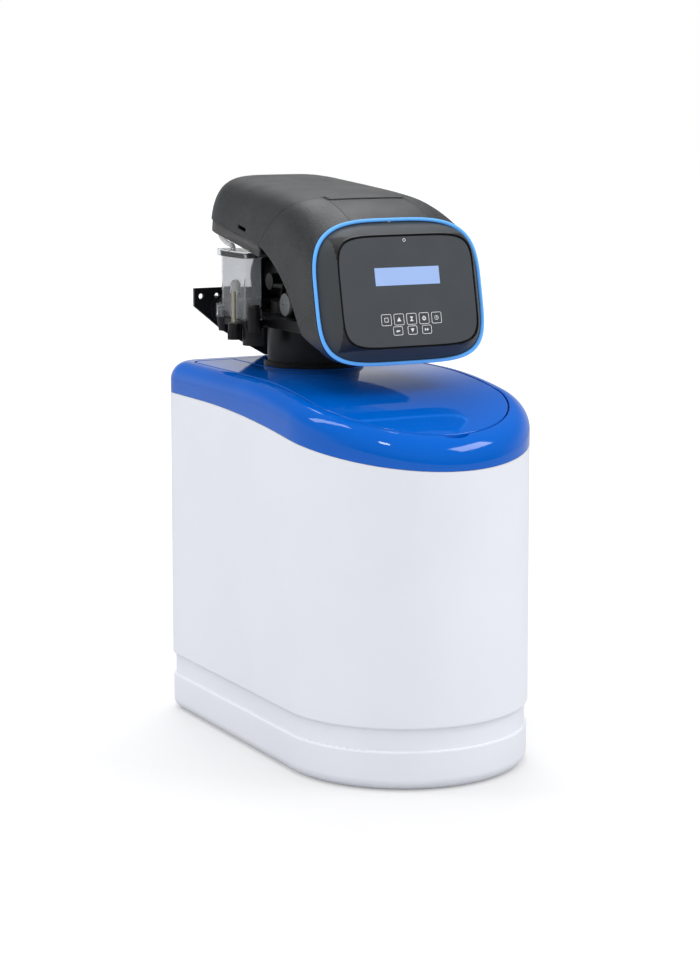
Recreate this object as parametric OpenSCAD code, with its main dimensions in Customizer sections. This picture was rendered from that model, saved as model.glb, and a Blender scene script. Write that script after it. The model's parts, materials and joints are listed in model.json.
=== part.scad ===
// Compact cabinet water softener: a D shaped salt cabinet under a deep blue cover with a
// lift-up salt lid, a resin tank inside, and an electronic control valve on the tank's neck.
// Millimetres. +Z is up, +X is to the right of someone facing the display, the front faces -Y.
// The origin is on the floor, at the middle of the cabinet's base.

/* [Cabinet] */
// Width of the cabinet, and diameter of its half round front
body_w = 260; // [250:1:280]
// Depth of the cabinet, front to back
body_d = 444; // [436:1:470]
// Radius of the two upright back corners
corner_r = 38; // [34:1:44]
// Thickness of the moulded cabinet wall
cabinet_wall = 4; // [3:0.5:5]
// Height of the foot below the waist groove
foot_h = 41; // [34:1:46]
// Height of the waist groove
groove_h = 21; // [16:1:26]
// Depth of the waist groove
groove_in = 3.5; // [2.5:0.5:4.5]
// How far the foot stands back from the upper body
foot_in = 1; // [0.5:0.5:2]
// Radius of the foot's bottom edge
foot_r = 12.5; // [8:0.5:14]
// Height of the joint between cabinet and cover, at the back
seam_z = 354.5; // [350:0.5:358]
// Radius of the long curve in which that joint drops to the front
seam_r = 1550; // [1400:10:2000]
// Where the joint starts to drop
seam_y = 118; // [90:1:130]

/* [Cover and salt lid] */
// Height of the cover's flat top
top_z = 388; // [385:0.5:392]
// Radius of the long curve in which the top drops to the front
top_r = 678; // [650:1:760]
// Where the top starts to drop
top_y = 23; // [10:1:40]
// Thickness of the cover
cover_t = 3; // [2.5:0.5:3.5]
// Radius of the cover's shoulder
shoulder_r = 20; // [16:0.5:20]
// Distance from the cover's outline to the lid groove
groove_inset = 21; // [21:0.5:24]
// Extra distance at the back
back_border = 13; // [10:1:16]
// Width of the groove between cover and lid
lid_gap = 1.6; // [1.6:0.1:2.4]
// Depth of the ledge that carries the lid
ledge_drop = 9; // [8:0.5:11]
// Width of that ledge
ledge_w = 7; // [6:0.5:8]
// Length of the lip that locates the cover in the cabinet
lip_h = 8; // [6:1:12]
// Depth of the finger scoop at the front of the cover
scoop_depth = 4; // [2:0.5:5]
// Height of the lid's hinge line
hinge_z = 379; // [378:0.5:380]
// Radius of the hinge pins
hinge_pin_r = 2; // [1.5:0.25:2.5]
// Distance of the two hinges from the cabinet's sides
hinge_in = 50; // [46:1:54]

/* [Tank] */
// Radius of the resin tank
tank_r = 103; // [98:1:104]
// Wall of the resin tank
tank_wall = 3; // [2.5:0.5:4]
// Distance of the tank's axis from the back of the cabinet
tank_back = 119; // [118:1:124]
// Radius of the tank's threaded neck
tank_neck_r = 38; // [36:0.5:39]
// Height of the tank's foot ring
tank_foot_h = 14; // [12:1:20]
// Radius of the riser tube in the tank
riser_r = 13.35; // [12:0.05:14]
// Wall of the riser tube
riser_wall = 2; // [1.5:0.5:2.5]

/* [Neck and valve] */
// Radius of the visible neck
neck_r = 50; // [46:0.5:51]
// Radius of the flange at the foot of the neck
neck_flange_r = 54; // [52.5:0.5:55]
// Height of the neck
neck_h = 44.5; // [42:0.5:46]
// Half width of the valve's base plate
base_flange_r = 64; // [62:0.5:65]
// Thickness of the valve's base plate
base_flange_t = 11.5; // [10:0.5:14]
// Height of the valve's bore over the cover
bore_up = 92; // [90:0.5:94]
// Radius of the valve's piston bore
bore_r = 15; // [14:0.5:16]
// Radius of the valve's barrel
barrel_r = 27; // [25:0.5:28]
// Running clearance of the piston and of every shaft
run_clear = 0.05; // [0.02:0.01:0.1]
// Travel of the piston, from service to rapid rinse
piston_travel = 30; // [24:1:32]
// Radius of the outside of the inlet and outlet ports
port_r = 13.2; // [12:0.1:14]
// Bore of the ports
port_bore_r = 9; // [8:0.5:10]
// Distance from the middle to each port
port_x = 60; // [56:0.5:64]
// Length of each port past the bracket
port_len = 18; // [14:1:22]
// Thickness of the pipe bracket
bracket_t = 4; // [3:0.5:5]
// Radius of the bracket's screw holes
bracket_hole_r = 3; // [2.4:0.1:3.4]
// Distance between the two holes of a pair
bracket_hole_pitch = 19.2; // [17:0.2:20]
// Radius of the side plug
plug_r = 11.8; // [10:0.2:13]

/* [Sight chamber] */
// Distance of the chamber from the middle
chamber_x = 80.5; // [79.5:0.5:82]
// How far the chamber's middle is behind the tank's axis
chamber_behind = 15; // [9:1:17]
// Width of the chamber across the head
chamber_w = 20; // [18:0.5:20.5]
// Length of the chamber, front to back
chamber_l = 66; // [56:1:68]
// Height of the clear body
chamber_h = 71.5; // [66:0.5:72]
// Wall of the clear body
chamber_wall = 1.6; // [1.2:0.1:2]
// Overhang of the chamber's cap
chamber_cap_out = 4.5; // [3:0.5:5]
// Radius of the metering tube beside the chamber
meter_r = 3; // [2.5:0.25:3.5]
// Radius of the transfer tube
hose_r = 2.75; // [2.5:0.25:3.25]

/* [Control head] */
// Half width of the head at the light ring
head_hw = 96.5; // [94:0.5:99]
// Half height of the head at the light ring
head_hh = 74.5; // [72:0.5:76]
// Height of the head's highest point over the middle of its light ring
head_rise = 108.7; // [106.7:0.5:111.7]
// How far the head reaches back past the tank's axis
head_behind = 97; // [93:1:103]
// How far the light ring's middle is in front of the tank's axis
head_reach = 187.4; // [184.4:0.5:190.4]
// Wall of the head's covers
head_wall = 2.5; // [2:0.25:3]
// Backward tilt of the display face
face_tilt = 11.6; // [8:0.1:14]
// Depth from the display face back to the light ring
bevel_depth = 21.7; // [18:0.1:24]
// Radius of the light ring's bead
ring_r = 2.3; // [1.8:0.1:2.6]
// Half width of the control panel
panel_hw = 76; // [72:0.5:78]
// Half height of the control panel
panel_hh = 55.2; // [54:0.1:57]
// Thickness of the control panel
panel_t = 3; // [2.5:0.25:3.5]
// Gap of the dark groove round the panel
panel_gap = 2; // [1.5:0.1:2.5]
// Width of the display window
lcd_w = 74; // [64:1:80]
// Height of the display window
lcd_h = 18.2; // [14:0.2:22]
// Height of the display over the panel's middle
lcd_v = 15.2; // [12:0.1:20]
// Distance between the keys of a row
key_pitch = 14.4; // [13.2:0.1:15.6]
// Width and height of an upper key
key_w = 12; // [10:0.1:12.4]
// Height of a lower key
key_low_h = 9.4; // [8:0.1:9.8]
// Distance from the panel's middle down to the upper keys
key_v = 28.2; // [26:0.1:28.6]
// Clearance round each key
key_clear = 0.25; // [0.2:0.05:0.4]
// Travel of a key
key_travel = 0.5; // [0.3:0.1:0.7]

/* [Drive] */
// Module of the gears
gear_m = 1.5; // [1.4:0.05:1.6]
// Teeth of the drive gear
gear_teeth = 44; // [40:4:48]
// Teeth of the motor's pinion
pinion_teeth = 16; // [14:2:18]
// Width of the drive gear
gear_w = 8; // [6:0.5:10]
// Radius of the piston rod
rod_r = 4; // [3:0.5:5]
// Radius of the motor
motor_r = 16; // [14:0.5:18]

/* [Brine side] */
// Radius of the brine well tube
well_r = 30; // [28:0.5:34]
// Wall of the brine well tube
well_wall = 2; // [1.5:0.5:3]
// Height of the brine well
well_h = 320; // [300:1:325]
// Distance of the brine well's axis from the cabinet's side
well_in = 52; // [46:1:58]
// How far the brine well stands in front of the tank's axis
well_ahead = 145; // [139:1:153]
// Radius of the safety float
float_r = 20; // [16:0.5:22]
// Height of the safety float
float_h = 40; // [32:1:50]
// Travel of the safety float on its rod
float_travel = 25; // [20:1:30]
// Height of the overflow elbow
overflow_z = 300; // [280:1:310]
// Radius of the overflow elbow's spigot
overflow_r = 8; // [7:0.5:9]

/* [Hidden] */
$fn = 96;
hw = body_w / 2;
front_y = -body_d / 2;
back_y = body_d / 2;
arc_y = front_y + hw;
corner_y = back_y - corner_r;
groove_z = foot_h + groove_h;
floor_t = 4.5;
tank_y = back_y - tank_back;
bore_z = top_z + bore_up;
collar_top = top_z + neck_h;
flange_top = collar_top + base_flange_t;
port_z = bore_z - 38;
piston_len = 50;
piston_front = tank_y - 43;
valve_front = piston_front - 24;
valve_back = piston_front + piston_len + piston_travel + 30;
manifold_y = valve_back + 4;
manifold_r = 15;
bracket_y = manifold_y + 31;
port_end = bracket_y + bracket_t + port_len;
port_shank_r = port_r + 0.8;
hinge_x = hw - hinge_in;
well_x = hw - well_in;
well_y = tank_y - well_ahead;
chamber_y = tank_y + chamber_behind;
chamber_z = top_z + 52;
chamber_top = chamber_z + chamber_h;
overflow_x = 62;

// Rule of the cover's top and of the joint under it: flat at the back, one long arc in front
function top_at(y) = y >= top_y ? top_z : top_z - top_r + sqrt(pow(top_r, 2) - pow(y - top_y, 2));
function seam_at(y) = y >= seam_y ? seam_z : seam_z - seam_r + sqrt(pow(seam_r, 2) - pow(y - seam_y, 2));

// The D shaped outline of the body, drawn inset, with its back moved forward by shift
module plan(inset, shift = 0) {
  r = hw - inset;
  back = corner_y - shift;
  translate([0, arc_y]) circle(r = r, $fn = 180);
  translate([-r, arc_y]) square([2 * r, back - arc_y]);
  for (s = [-1, 1]) translate([s * (hw - corner_r), back]) circle(r = corner_r - inset);
  translate([-(hw - corner_r), back - 1]) square([2 * (hw - corner_r), corner_r - inset + 1]);
}

// Sweeps a wall profile round that outline: x is the distance outward from it, y the height
module along_plan() {
  flat = hw - corner_r;
  translate([0, arc_y, 0]) rotate([0, 0, 180]) rotate_extrude(angle = 180, $fn = 180)
    translate([hw, 0]) children();
  for (s = [0, 1]) mirror([s, 0, 0]) {
    translate([hw, corner_y, 0]) rotate([90, 0, 0]) linear_extrude(corner_y - arc_y) children();
    translate([flat, corner_y, 0]) rotate_extrude(angle = 90) translate([corner_r, 0]) children();
  }
  rotate([0, 0, 90]) translate([back_y, flat, 0]) rotate([90, 0, 0])
    linear_extrude(2 * flat) children();
}

// What is cut away to round a convex corner at the origin, with the material at -x and -y
module corner_off(r) {
  difference() {
    translate([-r, -r]) square(r + 0.5);
    translate([-r, -r]) circle(r = r);
  }
}

// Everything below a curved surface that is flat behind y0 and drops in an arc in front of it
module below(z0, y0, r) {
  wide = body_w + 20;
  translate([-wide / 2, y0, -5]) cube([wide, back_y - y0 + 10, z0 + 5]);
  intersection() {
    translate([-wide / 2, y0, z0 - r]) rotate([0, 90, 0]) cylinder(r = r, h = wide, $fn = 720);
    translate([-wide / 2, front_y - 10, -5]) cube([wide, y0 - front_y + 10, z0 + 5]);
  }
}

// The layer of the cover's top between two depths under its surface
module top_layer(from, to) {
  difference() {
    below(top_z - from, top_y, top_r - from);
    below(top_z - to, top_y, top_r - to);
  }
}

// A closed surface through rows of points that run round and join end to end both ways
module ring_loft(rows) {
  m = len(rows);
  n = len(rows[0]);
  polyhedron(points = [for (row = rows) for (p = row) p], faces = [for (j = [0 : m - 1])
    for (i = [0 : n - 1]) let (a = j * n + i, b = j * n + (i + 1) % n, k = ((j + 1) % m) * n,
    c = k + (i + 1) % n, d = k + i) for (f = [[a, d, c], [a, c, b]]) f]);
}

// A solid through rows of points, closed by a flat face at the first and at the last row
module solid_loft(rows) {
  m = len(rows);
  n = len(rows[0]);
  polyhedron(points = [for (row = rows) for (p = row) p], faces = concat(
    [[for (i = [n - 1 : -1 : 0]) i]], [[for (i = [0 : n - 1]) (m - 1) * n + i]],
    [for (j = [0 : m - 2]) for (i = [0 : n - 1])
    let (a = j * n + i, b = j * n + (i + 1) % n, c = (j + 1) * n + (i + 1) % n, d = (j + 1) * n + i)
    for (f = [[a, b, c], [a, c, d]]) f]));
}

function power(v, p) = sign(v) * pow(abs(v), p);
// A rounded outline with half width w, half height h, and squareness n above and nl below
function soft_box(w, h, n, nl, count) = [for (i = [0 : count - 1]) let (a = 360 * (i + 0.5) / count,
  e = 2 / (sin(a) >= 0 ? n : nl)) [w * power(cos(a), e), h * power(sin(a), e)]];

// Cabinet
module cabinet_profile() {
  inner = groove_in + cabinet_wall;
  curb = foot_in + foot_r + 3;
  difference() {
    polygon([[-curb, 0], [-foot_in, 0], [-foot_in, foot_h], [-groove_in, foot_h],
      [-groove_in, groove_z], [0, groove_z], [0, seam_z + 5], [-cabinet_wall, seam_z + 5],
      [-cabinet_wall, groove_z + 14], [-inner, groove_z + 5], [-inner, foot_r],
      [-curb, floor_t]]);
    translate([-foot_in, 0]) mirror([0, 1]) corner_off(foot_r);
    translate([-foot_in, foot_h]) corner_off(groove_in - foot_in);
    translate([0, groove_z]) mirror([0, 1]) corner_off(groove_in);
  }
}

module cabinet() color([0.9, 0.92, 0.95]) {
  difference() {
    intersection() {
      along_plan() cabinet_profile();
      below(seam_z, seam_y, seam_r);
    }
    translate([overflow_x, back_y + 1, overflow_z]) rotate([90, 0, 0])
      cylinder(r = overflow_r + 0.2, h = cabinet_wall + 2);
  }
  linear_extrude(floor_t) plan(foot_in + foot_r + 2.9);
}

// Cover
cover_arc_steps = 30;
cover_side_steps = 8;
cover_corner_steps = 4;
function plan_point(side, a, inset, shift) = [side * (hw - corner_r) + (corner_r - inset) * cos(a),
  corner_y - shift + (corner_r - inset) * sin(a)];
function plan_path(inset, shift) = let (r = hw - inset, run = corner_y - shift - arc_y) concat(
  [for (i = [0 : cover_arc_steps]) let (a = 180 + 180 * i / cover_arc_steps)
    [r * cos(a), arc_y + r * sin(a)]],
  [for (i = [1 : cover_side_steps - 1]) [r, arc_y + run * i / cover_side_steps]],
  [for (i = [0 : cover_corner_steps]) plan_point(1, 90 * i / cover_corner_steps, inset, shift)],
  [for (i = [0 : cover_corner_steps]) plan_point(-1, 90 + 90 * i / cover_corner_steps, inset, shift)],
  [for (i = [1 : cover_side_steps - 1]) [-r, corner_y - shift - run * i / cover_side_steps]]);
lip_in = cabinet_wall + 0.4;
seam_gap = 0.25;
lip_t = 2.1;
// Each row of the cover's wall: inset, shift of its back, 1 if it follows the top and 0 if the
// joint, height over that, and share of the finger scoop
function cover_rows() = let (t = cover_t, r = shoulder_r, g = groove_inset, b = back_border,
  ri = shoulder_r - cover_t) concat(
  [[0, 0, 0, seam_gap, 0]],
  [for (f = [0 : 15 : 90]) [r * (1 - cos(f)), 0, 1, -r * (1 - sin(f)), pow(sin(f), 6)]],
  [[g - 0.4, b, 1, -0.2, 1], [g, b, 1, -1, 1], [g, b, 1, -ledge_drop, 0],
   [g + ledge_w, b, 1, -ledge_drop, 0], [g + ledge_w, b, 1, -ledge_drop - t, 0],
   [g - t, b, 1, -ledge_drop - t, 0], [g - t, b, 1, -t - 0.4, 1]],
  [for (f = [80 : -20 : 0]) [t + ri * (1 - cos(f)), 0, 1, -t - ri * (1 - sin(f)), pow(sin(f), 6)]],
  [[lip_in + lip_t, 0, 0, 2, 0], [lip_in + lip_t, 0, 0, -lip_h, 0],
   [lip_in, 0, 0, -lip_h, 0], [lip_in, 0, 0, seam_gap, 0]]);
scoop_w = 14;
function cover_row(c) = [for (p = plan_path(c[0], c[1])) [p[0], p[1],
  (c[2] == 1 ? top_at(p[1]) : seam_at(p[1])) + c[3]
  - (p[1] < arc_y ? c[4] * scoop_depth * exp(-pow(p[0] / scoop_w, 2)) : 0)]];

module top_cover() color([0.02, 0.27, 0.75])
  ring_loft([for (c = cover_rows()) cover_row(c)]);

hose_hole = [42, tank_y + 62];
// The fixed tongue of the cover that closes it round the neck, behind the lid
tongue_hw = neck_flange_r + 2;
lid_back = back_y - groove_inset - back_border;
module tongue_outline(grow) {
  w = tongue_hw + grow;
  translate([0, tank_y]) circle(r = w);
  translate([-w, tank_y]) square([2 * w, lid_back - tank_y]);
}

module neck_surround() color([0.02, 0.27, 0.75]) difference() {
  union() {
    translate([0, 0, top_z - cover_t]) linear_extrude(cover_t) tongue_outline(0);
    translate([-tongue_hw, lid_back - ledge_w, top_z - ledge_drop])
      cube([2 * tongue_hw, ledge_w, ledge_drop]);
  }
  translate([0, tank_y, top_z - ledge_drop - 1]) cylinder(r = tank_neck_r + 1, h = ledge_drop + 2);
  translate([hose_hole[0], hose_hole[1], top_z - ledge_drop - 1])
    cylinder(r = hose_r + 1, h = ledge_drop + 2);
}

hinge_y = lid_back - 15;
lug_w = 9;
ear_t = 4;
ear_at = lug_w / 2 + 0.5 + ear_t / 2;
module lid_hinge_brackets() color([0.03, 0.03, 0.035]) for (s = [-1, 1]) for (e = [-1, 1])
  translate([s * hinge_x + e * ear_at - ear_t / 2, hinge_y, hinge_z])
  difference() {
    union() {
      rotate([0, 90, 0]) cylinder(r = 4.5, h = ear_t);
      translate([0, 0, -4.5])
        cube([ear_t, lid_back - hinge_y - ledge_w, top_z - ledge_drop - hinge_z + 4.5]);
    }
    translate([-1, 0, 0]) rotate([0, 90, 0]) cylinder(r = hinge_pin_r + run_clear, h = ear_t + 2);
  }

module lid_hinge_pins() color([0.7, 0.7, 0.72]) for (s = [-1, 1])
  translate([s * hinge_x - lug_w / 2 - ear_t - 0.5, hinge_y, hinge_z]) rotate([0, 90, 0])
  cylinder(r = hinge_pin_r, h = lug_w + 2 * ear_t + 1);

// Salt lid. Its skirt is cut square to the slope, so it stays this much short of the ledge
lid_short = 0.9;
module lid_plan(grow) difference() {
  plan(groove_inset + lid_gap + grow, back_border);
  tongue_outline(lid_gap + grow);
  translate([-tongue_hw - lid_gap - grow, lid_back - 30])
    square([2 * (tongue_hw + lid_gap + grow), 60]);
}

module salt_lid() color([0.02, 0.27, 0.75]) difference() {
  intersection() {
    translate([0, 0, top_z / 2]) linear_extrude(top_z) lid_plan(0);
    top_layer(0, ledge_drop - lid_short);
  }
  intersection() {
    union() {
      translate([0, 0, top_z / 2]) linear_extrude(top_z) lid_plan(cover_t);
      translate([-hw, hinge_y - 8, top_z / 2]) cube([body_w, body_d, top_z]);
    }
    top_layer(cover_t, ledge_drop + 1);
  }
}

module lid_hinge_lugs() color([0.02, 0.27, 0.75]) for (s = [-1, 1])
  translate([s * hinge_x - lug_w / 2, hinge_y, hinge_z]) difference() {
    union() {
      rotate([0, 90, 0]) cylinder(r = 4, h = lug_w);
      translate([0, -4, 0]) cube([lug_w, 8, top_z - cover_t - hinge_z]);
    }
    translate([-1, 0, 0]) rotate([0, 90, 0]) cylinder(r = hinge_pin_r + run_clear, h = lug_w + 2);
  }

// Tank and what stands in it
tank_base = tank_foot_h + floor_t;
dome_low = 48;
dome_high = 44;
tank_shoulder = top_z - 24 - dome_high;
function dome(z, h, r, from, to) = [for (a = [from : (to - from) / 8 : to])
  [r * cos(a), z + h * sin(a)]];
module tank_outline(t) {
  polygon(concat([[0, tank_base + t]],
    dome(tank_base + dome_low, dome_low - t, tank_r - t, -82, 0),
    dome(tank_shoulder, dome_high - t, tank_r - t, 0, 66),
    [[tank_neck_r - t, tank_shoulder + dome_high - t], [tank_neck_r - t, top_z], [0, top_z]]));
}
module mineral_tank() color([0.1, 0.2, 0.45]) translate([0, tank_y, 0]) difference() {
  rotate_extrude() tank_outline(0);
  rotate_extrude() tank_outline(tank_wall);
  translate([0, 0, top_z - 20]) cylinder(r = tank_neck_r - tank_wall, h = 25);
}

tank_foot_r = tank_r * 0.72;
module tank_foot() color([0.05, 0.05, 0.06]) translate([0, tank_y, floor_t]) difference() {
  cylinder(r1 = tank_foot_r, r2 = tank_foot_r - 2, h = tank_foot_h + 18);
  translate([0, 0, -1]) cylinder(r = tank_foot_r - 6, h = tank_foot_h + 20);
  translate([0, 0, -floor_t]) rotate_extrude() tank_outline(0);
}

module riser_tube() color([0.85, 0.86, 0.88]) translate([0, tank_y, tank_base + 40]) difference() {
  cylinder(r = riser_r, h = flange_top - tank_base - 20);
  translate([0, 0, -1]) cylinder(r = riser_r - riser_wall, h = flange_top);
}

// A slotted strainer basket: stacked rings on four ribs
module strainer(r, h, rings) {
  pitch = h / rings;
  difference() {
    cylinder(r = r, h = h);
    translate([0, 0, 2]) cylinder(r = r - 3, h = h);
    for (k = [1 : rings - 1]) translate([0, 0, k * pitch - pitch / 4]) difference() {
      cylinder(r = r + 1, h = pitch / 2);
      for (a = [0, 90]) rotate(a) translate([-r - 2, -2, -1]) cube([2 * r + 4, 4, pitch + 2]);
    }
  }
}
strainer_r = riser_r + 9;
module bottom_strainer() color([0.8, 0.8, 0.78]) translate([0, tank_y, tank_base + 6])
  strainer(strainer_r, 34, 6);

module top_strainer() color([0.8, 0.8, 0.78]) translate([0, tank_y, top_z - 34]) difference() {
  strainer(strainer_r, 30, 5);
  translate([0, 0, -1]) cylinder(r = riser_r + 0.3, h = 40);
}

module tank_seal() color([0.02, 0.02, 0.02]) translate([0, tank_y, top_z - 5])
  rotate_extrude() translate([tank_neck_r - tank_wall - 1.9, 0]) circle(r = 1.8);

// Brine side in the salt cabinet
module brine_well() color([0.86, 0.87, 0.9]) translate([well_x, well_y, floor_t]) difference() {
  cylinder(r = well_r, h = well_h);
  translate([0, 0, -1]) cylinder(r = well_r - well_wall, h = well_h + 2);
  for (k = [0 : 5]) for (a = [30, 90, 150]) rotate(a) translate([-well_r - 1, -1.5, 8 + 9 * k])
    cube([2 * well_r + 2, 3, 4]);
}

module brine_well_cap() color([0.02, 0.27, 0.75]) translate([well_x, well_y, floor_t + well_h]) {
  difference() {
    cylinder(r = well_r + 3, h = 3);
    translate([0, 0, -1]) cylinder(r = hose_r + 0.5, h = 5);
  }
  translate([0, 0, -6]) difference() {
    cylinder(r = well_r - well_wall - 0.2, h = 6);
    translate([0, 0, -1]) cylinder(r = well_r - well_wall - 2.2, h = 7);
  }
}

stem_r = 3;
float_low = 130;
float_high = float_low + float_h + float_travel;
stop_gap = 0.3;
riser_end = floor_t + well_h - 16;
// The stem carries the float between two stops
module brine_riser() color([0.75, 0.76, 0.78]) translate([well_x, well_y, 0]) {
  translate([0, 0, floor_t]) cylinder(r = 12, h = 34);
  translate([0, 0, floor_t + 33]) cylinder(r = stem_r, h = riser_end - floor_t - 34);
  translate([0, 0, float_low - 6]) cylinder(r = 8, h = 6 - stop_gap);
  translate([0, 0, float_high + stop_gap]) cylinder(r = 8, h = 5);
  translate([0, 0, riser_end - 14]) cylinder(r = 9, h = 14);
}

module brine_float() color([0.1, 0.1, 0.11]) translate([well_x, well_y, float_low]) difference() {
  cylinder(r = float_r, h = float_h);
  translate([0, 0, -1]) cylinder(r = stem_r + run_clear, h = float_h + 2);
}

overflow_leg = 34;
overflow_out = overflow_r + 6;
module overflow_elbow() color([0.85, 0.86, 0.88])
  translate([overflow_x, back_y, overflow_z]) difference() {
    union() {
      translate([0, 4, 0]) rotate([90, 0, 0]) cylinder(r = overflow_r, h = cabinet_wall + 12);
      rotate([-90, 0, 0]) cylinder(r = overflow_r + 5, h = 4);
      rotate([-90, 0, 0]) cylinder(r = overflow_r, h = overflow_out);
      translate([0, overflow_out, -overflow_leg]) cylinder(r = overflow_r - 2, h = overflow_leg - 4);
      translate([0, overflow_out, -14]) cylinder(r = overflow_r, h = 14);
      translate([0, overflow_out, 0]) sphere(r = overflow_r);
    }
    translate([0, overflow_out, -overflow_leg - 1]) cylinder(r = overflow_r - 4, h = overflow_leg + 1);
    translate([0, overflow_out, 0]) rotate([90, 0, 0]) cylinder(r = overflow_r - 4, h = 40);
  }

module overflow_nut() color([0.9, 0.9, 0.9])
  translate([overflow_x, back_y - cabinet_wall, overflow_z]) rotate([90, 0, 0]) difference() {
    cylinder(r = overflow_r + 5, h = 5, $fn = 6);
    translate([0, 0, -1]) cylinder(r = overflow_r + 0.1, h = 8);
  }

// Neck and valve
module tank_collar() color([0.17, 0.17, 0.17]) translate([0, tank_y, top_z]) difference() {
  union() {
    cylinder(r = neck_flange_r, h = 4.5);
    cylinder(r = neck_flange_r - 1.2, h = 5.7);
    cylinder(r = neck_r, h = neck_h);
  }
  translate([0, 0, -1]) cylinder(r = tank_neck_r - tank_wall - 3, h = neck_h + 2);
}

boss_y = tank_y - 34;
boss_z = bore_z - 23;
boss_out = 49;
web_gap = 0.5;
module valve_body() color([0.05, 0.05, 0.055]) difference() {
  union() {
    translate([0, tank_y, collar_top]) linear_extrude(base_flange_t) {
      circle(r = base_flange_r);
      translate([-base_flange_r, -113]) square([2 * base_flange_r, 135]);
    }
    translate([0, tank_y, flange_top]) cylinder(r = neck_r - 4, h = 14);
    translate([0, valve_front, bore_z]) rotate([-90, 0, 0])
      cylinder(r = barrel_r, h = valve_back - valve_front);
    translate([0, valve_front, bore_z]) rotate([-90, 0, 0]) cylinder(r = barrel_r + 4, h = 6);
    for (y = [tank_y - 18, tank_y + 18]) translate([-barrel_r - 2, y, flange_top - 2])
      cube([2 * barrel_r + 4, 4, bore_z - flange_top + 2]);
    translate([0, valve_back - 22, port_z]) cylinder(r = 18, h = bore_z - port_z);
    translate([-port_x, manifold_y, port_z]) rotate([0, 90, 0])
      cylinder(r = manifold_r, h = 2 * port_x);
    translate([-13, valve_back - 22, collar_top + web_gap])
      cube([26, manifold_y - valve_back + 22, port_z + 10 - collar_top - web_gap]);
    for (s = [-1, 1]) translate([s * port_x, manifold_y, port_z]) {
      rotate([0, 90, 0]) sphere(r = manifold_r);
      rotate([-90, 0, 0]) cylinder(r = port_r, h = port_end - manifold_y);
      rotate([-90, 0, 0]) cylinder(r = port_shank_r, h = bracket_y + bracket_t - manifold_y);
      translate([0, bracket_y - manifold_y, 0]) rotate([90, 0, 0]) cylinder(r = port_r + 3, h = 5);
    }
    translate([-boss_out, boss_y, boss_z]) rotate([0, 90, 0])
      cylinder(r = plug_r + 2.4, h = 2 * boss_out);
    translate([-44, tank_y + 19, bore_z - 2]) rotate([0, 90, 0]) cylinder(r = 9, h = 44);
    translate([-40, tank_y - 15, bore_z - 6]) rotate([-90, 0, 0]) {
      cylinder(r = 3.5, h = 34);
      cylinder(r = 5.2, h = 1.8);
    }
    translate([0, drain_y, drain_z]) rotate([0, 90, 0]) cylinder(r = 11, h = drain_start);
    translate([nipple[0], nipple[1], nipple_z]) cylinder(r = hose_r + 1, h = collar_top + 1 - nipple_z);
  }
  translate([0, valve_front + 8, bore_z]) rotate([-90, 0, 0]) cylinder(r = bore_r, h = valve_back);
  translate([0, valve_front - 1, bore_z]) rotate([-90, 0, 0]) cylinder(r = rod_r + run_clear, h = 12);
  translate([0, tank_y, collar_top - 1]) cylinder(r = riser_r + run_clear, h = 40);
  for (s = [-1, 1]) translate([s * port_x, port_end + 1, port_z]) rotate([90, 0, 0])
    cylinder(r = port_bore_r, h = 46);
  for (s = [-1, 1]) translate([s * (boss_out + 1), boss_y, boss_z]) rotate([0, -s * 90, 0])
    cylinder(r = plug_r - 1.5, h = 14);
}

end_cap_r = barrel_r + 13;
module valve_end_cap() color([0.06, 0.06, 0.065]) translate([0, valve_back, bore_z])
  rotate([-90, 0, 0]) {
    difference() {
      cylinder(r = end_cap_r, h = 6);
      translate([-end_cap_r - 1, bore_z - port_z - manifold_r - 0.4, -1])
        cube([2 * end_cap_r + 2, end_cap_r, 8]);
    }
    for (a = [25, 155, 235, 305]) rotate(a) translate([end_cap_r - 7, 0, 5]) cylinder(r = 2.6, h = 3);
  }

// The plug's face has two small sockets for a pin wrench
module plug_face(out) {
  difference() {
    union() {
      cylinder(r = plug_r, h = out);
      translate([0, 0, -8]) cylinder(r = plug_r - 1.6, h = 8);
    }
    for (s = [-1, 1]) translate([0, s * 4, out - 1.5]) cylinder(r = 1.1, h = 2);
  }
}
module side_plug() color([0.45, 0.46, 0.47]) translate([-boss_out, boss_y, boss_z])
  rotate([0, -90, 0]) plug_face(3);
module injector_cap() color([0.45, 0.46, 0.47]) translate([boss_out, boss_y, boss_z])
  rotate([0, 90, 0]) plug_face(3);

bracket_hw = 94.6;
bracket_top = bore_z - 14;
hole_x = 77;
module pipe_bracket() color([0.04, 0.04, 0.045]) translate([0, bracket_y + bracket_t, 0])
  rotate([90, 0, 0]) linear_extrude(bracket_t) difference() {
    union() {
      polygon([[-bracket_hw, bracket_top], [-bracket_hw, bracket_top - 20], [-60, top_z + 29.5],
        [-8, top_z], [8, top_z], [60, top_z + 29.5], [bracket_hw, bracket_top - 20],
        [bracket_hw, bracket_top]]);
      for (s = [-1, 1]) translate([s * port_x, port_z]) circle(r = port_r + 4);
    }
    for (s = [-1, 1]) {
      translate([s * port_x, port_z]) circle(r = port_shank_r + 0.1);
      for (e = [-0.5, 0.5]) translate([s * hole_x + e * bracket_hole_pitch, bracket_top - 9])
        circle(r = bracket_hole_r);
    }
  }

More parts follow.
